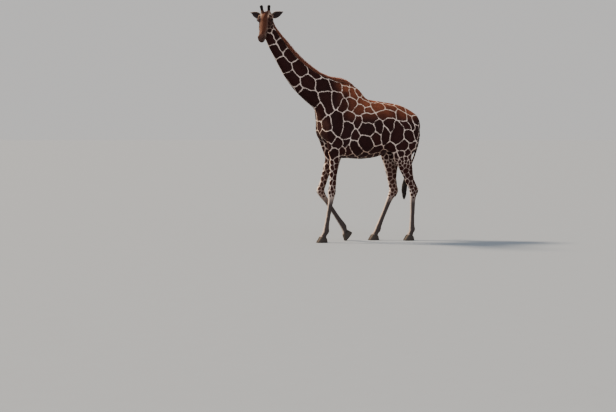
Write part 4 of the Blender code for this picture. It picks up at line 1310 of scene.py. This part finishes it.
def hair_length(points, normals):
    """Longer under the belly and behind the thighs, short on the legs, least on the face."""
    body, head = body_points(points), head_points(points)
    face, x, z = in_the_head(head), body[:, 0], body[:, 2]
    length = np.full(len(points), 0.021)
    length -= 0.006 * below(z, 1.70, 1.20) + 0.003 * below(z, 0.60, 0.25)
    length += 0.009 * ramp(-normals[:, 2], 0.5, 0.9) * ramp(z, 1.5, 1.7)
    length += 0.008 * ramp(normals[:, 0], 0.6, 0.95) * ramp(z, 0.9, 1.3) * ramp(x, 0.2, 0.5)
    length += 0.006 * below(z, 0.32, 0.18)
    ear = ramp(np.abs(head[:, 1]), 0.115, 0.14) * below(head[:, 0], *EAR_BAND)
    horn, way = on_horn(head)
    short = 0.0105 + 0.004 * ear + 0.007 * horn * way + 0.004 * ramp(-head[:, 2], 0.20, 0.25)
    short -= 0.004 * ramp(head[:, 0], 0.40, 0.50)
    return length * (1 - face) + short * face


def tuft_width(length):
    return 0.0011 + 0.15 * length


def tuft_density(points, normals):
    """Tufts for each square metre, with none in the eyes, nostrils and mouth."""
    length = hair_length(points, normals)
    share = COVERAGE / (0.5 * length * tuft_width(length))
    share *= 1 + 1.5 * below(points[:, 2], 0.24, 0.16)
    head = head_points(points)
    share *= ramp(to_segment(mirrored(head), *NOSTRIL[:2])[0], 0.006, 0.011)
    for side in SIDES:
        distance, _, outside, _ = lid_angles(points, side)
        share = np.where(distance < EYE_RADIUS * 1.6, share * ramp(outside, 3.0, 9.0), share)
    lips = in_the_head(head) * ramp(head[:, 0], MOUTH_START, MOUTH_START + 0.03)
    return share * (1 - lips * below(np.abs(above_mouth(head)), 0.006, 0.003))


def coat_regions(points):
    """For each piece of the coat, which places belong to it."""
    body, head = body_points(points), head_points(points)
    face = in_the_head(head) > 0.5
    neck = ~face & (up_the_neck(body) > 0)
    leg = ~face & ~neck & (body[:, 2] < LEG_TOP)
    rest = ~(face | neck | leg)
    return {
        "coat_head": face,
        "coat_neck": neck,
        "coat_trunk_left": rest & (body[:, 1] < 0),
        "coat_trunk_right": rest & (body[:, 1] >= 0),
        "coat_forelegs": leg & (body[:, 0] < 0),
        "coat_hindlegs": leg & (body[:, 0] >= 0),
    }


# The fringe over the hooves: where it is looked for, how near a hoof it grows, how much longer
# its hair is and how far it stands out.
FRINGE_TOP, FRINGE_REACH, FRINGE_LENGTH, FRINGE_LIFT = 0.32, 0.035, 0.014, 0.75
HOOVES = sorted(name for name in frame["nodes"] if name.startswith("hoof_"))
HOOF_TREE = solids_tree(HOOVES)


def body_tube(start, end):
    return HOME + Vector(start), HOME + Vector(end)


def head_tube(start, end):
    return from_head(*start), from_head(*end)


def ear_tube(side):
    start = from_head(0.0, SIDES[side] * 0.09, -0.03)
    return start, start + (box_middle("ear_" + side) - start) * 1.9


def leg_tubes(leg):
    out, upper, middle, lower = LEGS[leg]
    joints = [(x, out, z) for x, z in (upper, middle, lower)]
    return [body_tube(*ends) for ends in zip(joints[:-1], joints[1:])]


# The cores that each piece's map is rolled around, and each one's share of the map.
TRUNK_TUBE = body_tube((-0.9, 0, 2.25), (0.95, 0, 2.2))
HEAD_TUBES = [
    head_tube((0.0, 0, -0.10), (0.60, 0, -0.16)),
    ear_tube("left"),
    ear_tube("right"),
    head_tube((0, 0.062, -0.012), (-0.06, 0.08, 0.09)),
    head_tube((0, -0.062, -0.012), (-0.06, -0.08, 0.09)),
]
MAP_CORES = {
    "coat_head": (HEAD_TUBES, (0.64, 0.12, 0.12, 0.06, 0.06)),
    "coat_neck": ([body_tube((-1.0, 0, 2.75), (-1.93, 0, 4.05))], (1.0,)),
    "coat_trunk_left": ([TRUNK_TUBE], (1.0,)),
    "coat_trunk_right": ([TRUNK_TUBE], (1.0,)),
    "coat_forelegs": (leg_tubes("fore_left") + leg_tubes("fore_right"), (0.3, 0.2, 0.3, 0.2)),
    "coat_hindlegs": (leg_tubes("hind_left") + leg_tubes("hind_right"), (0.3, 0.2, 0.3, 0.2)),
}
# The size of one tuft's patch on the map.
BAKE_PATCH = 0.003


def scaled_span(values, low, high):
    """Values spread evenly over a span."""
    return low + (high - low) * (values - values.min()) / max(float(np.ptp(values)), 1e-9)


def rolled_out(points, cores, shares):
    """The skin rolled out around its cores: across goes the angle, up goes the way along."""
    distances = np.stack([to_segment(points, *core)[0] for core in cores])
    nearest = np.argmin(distances, axis=0)
    spots = np.zeros((len(points), 2))
    edge = 0.0
    for index, ((start, end), share) in enumerate(zip(cores, shares)):
        mine = nearest == index
        if mine.sum() > 2:
            axis = np.array((end - start).normalized())
            rel = points[mine] - np.array(start)
            aside = (0.0, 1.0, 0.0) if abs(axis[1]) < 0.8 else (1.0, 0.0, 0.0)
            side = unit(np.cross(axis, aside)[None])[0]
            across = np.cross(axis, side)
            angle = np.arctan2(rel @ across, rel @ side)
            spots[mine, 0] = scaled_span(angle, edge + 0.01, edge + share - 0.01)
            spots[mine, 1] = scaled_span(rel @ axis, 0.01, 0.99)
        edge += share
    return spots


def bake_map(item, spots, size, rng):
    """The OFBake map: each tuft is a small patch at its root's place on the rolled-out skin."""
    layer = item.data.uv_layers.new(name="OFBake")
    corner = rng.uniform(-0.5, 0.5, (len(spots), size, 2)) * BAKE_PATCH
    places = (np.clip(spots, 0.004, 0.996)[:, None, :] + corner).reshape(-1, 2)
    index = np.zeros(len(item.data.loops), np.int32)
    item.data.loops.foreach_get("vertex_index", index)
    layer.data.foreach_set("uv", places[index].astype(np.float32).ravel())


def beside_hooves(roots):
    """1 for the hair just over the hooves, which hangs out over their upper edge."""
    share = np.zeros(len(roots))
    for index in np.flatnonzero(roots[:, 2] < FRINGE_TOP):
        distance = HOOF_TREE.find_nearest(Vector(roots[index]), FRINGE_REACH)[3]
        if distance is not None:
            share[index] = 1 - distance / FRINGE_REACH
    return share


def tufts(roots, normals, lie, length, rng):
    """Thin closed wedges lying along the skin: two root corners, a ridge and a tip."""
    fringe = beside_hooves(roots)[:, None]
    lie = unit(lie + normals * (FRINGE_LIFT * ramp(fringe, 0.05, 0.5)))
    length = length + FRINGE_LENGTH * ramp(fringe[:, 0], 0.0, 0.3)
    turn = rng.normal(0, TUFT_TURN, len(roots))[:, None]
    across = np.cross(normals, lie)
    lie = unit(lie * np.cos(turn) + across * np.sin(turn))
    across = np.cross(normals, lie)
    length = length * rng.uniform(0.75, 1.2, len(roots))
    half = (tuft_width(length) / 2 * rng.uniform(0.8, 1.2, len(roots)))[:, None]
    long = length[:, None]
    start = roots - normals * ROOT_DEPTH
    ridge = start + lie * long * RIDGE_WAY + normals * (RIDGE_RISE[0] + long * RIDGE_RISE[1])
    bend = across * rng.normal(0, TUFT_BEND, len(roots))[:, None] * long
    lift = TIP_RISE[0] + long * rng.uniform(*TIP_RISE[1:], (len(roots), 1))
    tip = start + lie * long + bend + normals * lift
    places = np.stack((start - across * half, start + across * half, ridge, tip), axis=1)
    shown = np.stack((normals - 0.30 * across, normals + 0.30 * across, normals, normals), axis=1)
    corners = np.array(((0, 3, 2), (1, 2, 3), (0, 2, 1), (0, 1, 3)))
    faces = corners[None] + (np.arange(len(roots)) * 4)[:, None, None]
    return places.reshape(-1, 3), faces.reshape(-1, 3), unit(shown.reshape(-1, 3))


def picked_roots(chosen, density, rng):
    """Random places on some of the skin's faces, and the normals there."""
    corners = SKIN_PLACES[SKIN_FACES[chosen]]
    sides = np.cross(corners[:, 1] - corners[:, 0], corners[:, 2] - corners[:, 0])
    wanted = np.linalg.norm(sides, axis=1) / 2 * density[chosen]
    count = int(min(wanted.sum(), MOST_TUFTS))
    index = rng.choice(len(wanted), count, p=wanted / wanted.sum())
    a, b = rng.uniform(0, 1, (2, count, 1))
    flip = a + b > 1
    a, b = np.where(flip, 1 - a, a), np.where(flip, 1 - b, b)
    share = np.concatenate((1 - a - b, a, b), axis=1)[:, :, None]
    roots = (corners[index] * share).sum(axis=1)
    normals = unit((SKIN_NORMALS[SKIN_FACES[chosen][index]] * share).sum(axis=1))
    return roots, normals


def grow_coat():
    """The coat's tufts, in one piece for each region, marked like the skin that they grow on."""
    rng = np.random.default_rng(5)
    density = tuft_density(SKIN_MIDDLES, unit(SKIN_NORMALS[SKIN_FACES].mean(axis=1)))
    finish = coat_finish("short_hair_tufts", False)
    for name, chosen in coat_regions(SKIN_MIDDLES).items():
        roots, normals = picked_roots(chosen, density, rng)
        border, ground, blotch = coat_colours(roots, normals)
        lie, length = lie_of_coat(roots, normals), hair_length(roots, normals)
        ahead = coat_colours(roots + lie * length[:, None] * MARKING_REACH, normals)[0]
        places, faces, shown = tufts(roots, normals, lie, length, rng)
        item = built_mesh(name, places, faces)
        give(item.data, "border", (border[:, None] + (ahead - border)[:, None] * TUFT_WAY).ravel())
        give(item.data, "ground", np.repeat(ground, 4, axis=0), "FLOAT_COLOR")
        give(item.data, "blotch", np.repeat(blotch, 4, axis=0), "FLOAT_COLOR")
        give(item.data, "shade", np.repeat(rng.uniform(0.82, 1.18, len(roots)), 4))
        set_normals(item, shown)
        bake_map(item, rolled_out(roots, *MAP_CORES[name]), 4, rng)
        place_piece(item, finish, "coat")


grow_coat()


# ---------------------------------------------------------------- mane and tail tuft

MANE_LOCKS, MANE_WIDTH = 12000, 0.0036
# The longest and the shortest hair of the mane, and roots tried for each square metre.
MANE_MOST, MANE_LEAST, MANE_TRIES = 0.16, 0.012, 1e6
# How much the mane's hair leans up the neck, strays, and bows back down it, as shares of its
# length.
MANE_LEAN, MANE_LEAN_VARIES, MANE_STRAY, MANE_BOW = 0.06, 0.10, 0.05, -0.10
MANE_ROOT, MANE_TIP = linear("#3d1a10"), linear("#8f4a2a")
TAIL_LOCKS, TAIL_WIDTH, TAIL_END_X = 900, 0.0050, float(HOME.x + 0.985)
TAIL_ROOT, TAIL_TIP = linear("#14100f"), linear("#2a1c18")
# How far down the tuft its hair starts and how far up it ends, as shares of the tuft's length;
# how much of the tuft's breadth it fills, how much each step of a lock wavers, and its steps.
TAIL_START, TAIL_END, TAIL_END_VARIES = 0.30, 0.35, 0.06
TAIL_FULLNESS, TAIL_WAVER, TAIL_STEPS = 0.92, 0.0015, 8


def lock_piece(name, lines, sides, widths, shade, finish, node, slot, rng):
    """A piece of many locks, with its way, shade and bake map."""
    places, faces, size = locks(lines, sides, widths, 0.7)
    count, steps = lines.shape[:2]
    item = built_mesh(name, places, faces)
    way = np.append(np.repeat(np.arange(steps - 1) / (steps - 1), 3), 1.0)
    give(item.data, "way", np.tile(way, count))
    give(item.data, "shade", np.repeat(shade, size))
    down_back = scaled_span(lines[:, 0, 0] - lines[:, 0, 2], 0.01, 0.99)
    spots = np.stack((down_back, scaled_span(shade, 0.01, 0.99)), axis=1)
    bake_map(item, spots, size, rng)
    place_piece(item, finish, slot, node)


def grow_mane():
    """Stiff upright locks from the nape's skin out to the mane's own outline."""
    rng = np.random.default_rng(8)
    tree = solids_tree(("mane",))
    low, high = (np.array(v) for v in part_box("mane"))
    chosen = np.all((SKIN_MIDDLES > low - 0.02) & (SKIN_MIDDLES < high + 0.02), axis=1)
    chosen &= SKIN_NORMALS[SKIN_FACES].mean(axis=1)[:, 2] > 0.1
    roots, normals = picked_roots(chosen, np.full(len(SKIN_MIDDLES), MANE_TRIES), rng)
    lines, sides = [], []
    for root, normal in zip(roots, normals):
        start, out = Vector(root), Vector(normal)
        hit, _, _, distance = tree.ray_cast(start + out * MANE_MOST, -out, MANE_MOST)
        if hit is None or MANE_MOST - distance < MANE_LEAST:
            continue
        reach = (MANE_MOST - distance) * rng.uniform(0.78, 1.03)
        lean = np.array(NECK_WAY) * rng.normal(MANE_LEAN, MANE_LEAN_VARIES)
        tip = root + (normal + lean + rng.normal(0, MANE_STRAY, 3)) * reach
        bend = np.array(NECK_WAY) * (MANE_BOW * reach)
        lower = root * 0.62 + tip * 0.38 + bend
        upper = root * 0.25 + tip * 0.75 + bend * 0.7
        lines.append([root - normal * 0.004, lower, upper, tip])
        sides.append(rng.normal(0, 1, 3))
        if len(lines) >= MANE_LOCKS:
            break
    lines, sides = np.array(lines), unit(np.array(sides))
    taper = np.array((1.0, 0.95, 0.70, 0.0))
    widths = MANE_WIDTH * rng.uniform(0.7, 1.3, (len(lines), 1)) * taper
    shade = rng.uniform(0.70, 1.30, len(lines))
    finish = hair_finish("mane_bristle", MANE_ROOT, MANE_TIP, 0.10)
    lock_piece("mane_hair", lines, sides, widths, shade, finish, "mane", "mane", rng)


def grow_tail_tuft():
    """Long black locks that leave the tail's end and hang together to a soft point."""
    rng = np.random.default_rng(9)
    low, high = (np.array(v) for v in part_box("tail_tuft"))
    middle = (low + high) / 2
    tall = high[2] - low[2]
    steps = np.linspace(0, 1, TAIL_STEPS)
    swell = np.sin(np.pi * np.clip(steps * 0.80 + 0.12, 0, 1)) ** 0.8 * TAIL_FULLNESS
    lines = np.zeros((TAIL_LOCKS, TAIL_STEPS, 3))
    for n in range(TAIL_LOCKS):
        angle, out = rng.uniform(0, 2 * math.pi), math.sqrt(rng.uniform(0, 1))
        start_z = high[2] - rng.uniform(0.0, TAIL_START) * tall
        end_z = low[2] + (rng.uniform(0.0, TAIL_END) * out + rng.uniform(0, TAIL_END_VARIES)) * tall
        spread = np.array((math.cos(angle), math.sin(angle))) * (high - low)[:2] / 2 * out
        z = start_z + (end_z - start_z) * steps
        level = (high[2] - z) / tall
        middle_x = TAIL_END_X + (middle[0] - TAIL_END_X) * np.clip(level * 2, 0, 1)
        lines[n] = np.stack((middle_x + spread[0] * swell, middle[1] + spread[1] * swell, z), axis=1)
    waver = rng.normal(0, TAIL_WAVER, (TAIL_LOCKS, TAIL_STEPS - 1, 2))
    lines[:, 1:, :2] += waver.cumsum(axis=1)
    sides = unit(rng.normal(0, 1, (TAIL_LOCKS, 3)))
    taper = np.array((0.8, 1.0, 1.0, 1.0, 0.9, 0.75, 0.5, 0.0))
    widths = TAIL_WIDTH * rng.uniform(0.6, 1.3, (TAIL_LOCKS, 1)) * taper
    shade = rng.uniform(0.7, 1.4, TAIL_LOCKS)
    finish = hair_finish("tail_long_hair", TAIL_ROOT, TAIL_TIP, 0.05)
    lock_piece("tail_hair", lines, sides, widths, shade, finish, "tail_tuft", "tail_tuft", rng)


grow_mane()
grow_tail_tuft()


# ---------------------------------------------------------------- eyes and lashes

CORNEA_BULGE, PUPIL_WIDE, PUPIL_HIGH, IRIS_EDGE = 0.0014, 0.0085, 0.0052, 0.0135
# How far the eyeball is smaller than its solid, and what stands for places behind the pupil.
EYE_SLACK, NO_PUPIL = 0.0006, 9.0
LASHES, LASH_LENGTH, LASH_WIDTH, LASH_SPAN = 70, 0.024, 0.0014, 0.93
# How many degrees over the lid's edge the lashes grow, and how much they fan out, hang down,
# stray and curl up.
LASH_OVER, LASH_FAN, LASH_DROOP, LASH_STRAY, LASH_CURL = 1.5, 0.5, 0.45, 0.10, 0.35
LASH_DARK, LASH_END = linear("#0d0908"), linear("#1c1310")


def make_eye(side, finish):
    """The eyeball, its cornea standing out a little, and its pupil marked on it."""
    outward, forward, upward = (np.array(axis) for axis in eye_axes(side))
    bm = bmesh.new()
    bmesh.ops.create_uvsphere(bm, u_segments=64, v_segments=48, radius=EYE_RADIUS - EYE_SLACK)
    bmesh.ops.triangulate(bm, faces=bm.faces[:])
    places, _, faces = mesh_arrays(bm)
    bm.free()
    across, rise = places @ forward, places @ upward
    off = np.hypot(across, rise)
    front = places @ outward > 0
    places = places + outward * (CORNEA_BULGE * below(off, IRIS_EDGE, 0.004) * front)[:, None]
    item = built_mesh("eyeball_" + side, places + np.array(EYES[side]), faces)
    pupil = np.hypot(across / PUPIL_WIDE, rise / PUPIL_HIGH)
    give(item.data, "pupil", np.where(front, pupil, NO_PUPIL))
    place_piece(item, finish, "eye", "eye_" + side)


def make_lashes(side, finish):
    """Long dark lashes on the upper lid, swept out and down."""
    rng = np.random.default_rng(12)
    outward, forward, upward = (np.array(axis) for axis in eye_axes(side))
    degrees = np.linspace(-LASH_SPAN, LASH_SPAN, LASHES)[:, None] * LID_HALF_WIDTH
    across = np.radians(degrees)
    rise = np.radians(LID_ABOVE * lid_curve(degrees) + LASH_OVER)
    level = (outward * np.cos(across) + forward * np.sin(across)) * np.cos(rise)
    out = unit(level + upward * np.sin(rise))
    start = np.array(EYES[side]) + out * (EYE_RADIUS + LID_THICKNESS * 0.4)
    stray = rng.normal(0, LASH_STRAY, out.shape)
    sweep = unit(out + forward * np.sin(across) * LASH_FAN - upward * LASH_DROOP + stray)
    long = LASH_LENGTH * rng.uniform(0.75, 1.1, (LASHES, 1))
    steps = np.array((0.0, 0.35, 0.7, 1.0))
    curl = upward * (steps ** 2)[:, None] * LASH_CURL
    lines = start[:, None] + (sweep[:, None] * steps[:, None] + curl) * long[:, None]
    widths = LASH_WIDTH * np.tile(np.array((1.0, 0.9, 0.6, 0.0)), (LASHES, 1))
    places, faces, _ = locks(lines, unit(np.cross(sweep, upward)), widths, 0.6)
    item = built_mesh("lashes_" + side, places, faces)
    give(item.data, "way", np.tile(np.append(np.repeat(np.arange(3) / 3, 3), 1.0), LASHES))
    give(item.data, "shade", np.ones(len(places)))
    place_piece(item, finish, "coat")


EYE_FINISH = eye_finish()
LASH_FINISH = hair_finish("lash_hair", LASH_DARK, LASH_END, 0.0)
for eye_side in SIDES:
    make_eye(eye_side, EYE_FINISH)
    make_lashes(eye_side, LASH_FINISH)


# ---------------------------------------------------------------- hooves

HOOF_ROUNDING, FLAT_ANGLE, EDGE_ANGLE = 0.004, math.radians(2), math.radians(40)


def make_hoof(node, finish):
    """The hoof's own solid with its edges rounded."""
    bm = gathered((node,))
    bmesh.ops.dissolve_limit(bm, angle_limit=FLAT_ANGLE, verts=bm.verts[:], edges=bm.edges[:])
    mesh = bpy.data.meshes.new(node + "_horn")
    bm.to_mesh(mesh)
    bm.free()
    mesh.polygons.foreach_set("use_smooth", [True] * len(mesh.polygons))
    item = new_item(node + "_horn", mesh)
    bevel = item.modifiers.new("rounding", "BEVEL")
    bevel.width = HOOF_ROUNDING
    bevel.segments = 3
    bevel.limit_method = "ANGLE"
    bevel.angle_limit = EDGE_ANGLE
    bevel.harden_normals = True
    place_piece(item, finish, "hoof", node)


HOOF_FINISH = hoof_finish()
for hoof_node in HOOVES:
    make_hoof(hoof_node, HOOF_FINISH)


# ---------------------------------------------------------------- floor, light and camera

# The floor reaches past the horizon, and lies just under the hooves.
FLOOR_SIZE, FLOOR_DROP = 2000.0, 0.0005
# The way each sun shines, its spread in degrees, its power and its colour.
WARM_KEY = ((0.60, -0.46, -0.66), 10, 8.0, "#ffe0bd")
SOFT_FILL = ((0.25, 0.85, -0.45), 50, 0.9, "#eef0ff")
ROOM_GLOW, ROOM_POWER = "#e6e4e2", 0.80
# The camera stands this far round the giraffe, this far off and this high, with its lens and film
# in millimetres, and looks at a place this far across and this high.
CAMERA_TURN = math.radians(-20)
CAMERA_DISTANCE, CAMERA_HEIGHT, CAMERA_LENS, CAMERA_FILM = 30.0, 2.0, 91.17, 36.0
AIM_ACROSS, AIM_HEIGHT = -1.0962, 0.673


def make_floor():
    mesh = bpy.data.meshes.new("studio_floor")
    half, level = FLOOR_SIZE / 2, START_BOUNDS[0][2] - FLOOR_DROP
    corners = [(-half, -half, level), (half, -half, level), (half, half, level), (-half, half, level)]
    mesh.from_pydata(corners, [], [(0, 1, 2, 3)])
    mesh.materials.append(floor_finish())
    new_item("studio_floor", mesh)


def hang_sun(name, toward, spread, power, colour):
    lamp = bpy.data.lights.new(name, "SUN")
    lamp.angle = math.radians(spread)
    lamp.energy = power
    lamp.color = [float(v) for v in linear(colour)]
    new_item(name, lamp).rotation_euler = Vector(toward).to_track_quat("-Z", "Y").to_euler()


def light_the_studio():
    hang_sun("warm_key", *WARM_KEY)
    hang_sun("soft_fill", *SOFT_FILL)
    world = bpy.data.worlds.new("pale_studio")
    bpy.context.scene.world = world
    world.use_nodes = True
    glow = world.node_tree.nodes["Background"].inputs
    glow["Color"].default_value = rgba(linear(ROOM_GLOW))
    glow["Strength"].default_value = ROOM_POWER


def place_camera():
    right = Vector((math.cos(CAMERA_TURN), math.sin(CAMERA_TURN), 0))
    back = Vector((math.sin(CAMERA_TURN), -math.cos(CAMERA_TURN), 0))
    aim = HOME + right * AIM_ACROSS + UP * AIM_HEIGHT
    data = bpy.data.cameras.new("studio_camera")
    data.lens = CAMERA_LENS
    data.sensor_width = CAMERA_FILM
    item = new_item("studio_camera", data)
    item.location = HOME + right * AIM_ACROSS + back * CAMERA_DISTANCE + UP * CAMERA_HEIGHT
    item.rotation_euler = (aim - item.location).to_track_quat("-Z", "Y").to_euler()
    bpy.context.scene.camera = item


make_floor()
light_the_studio()
place_camera()
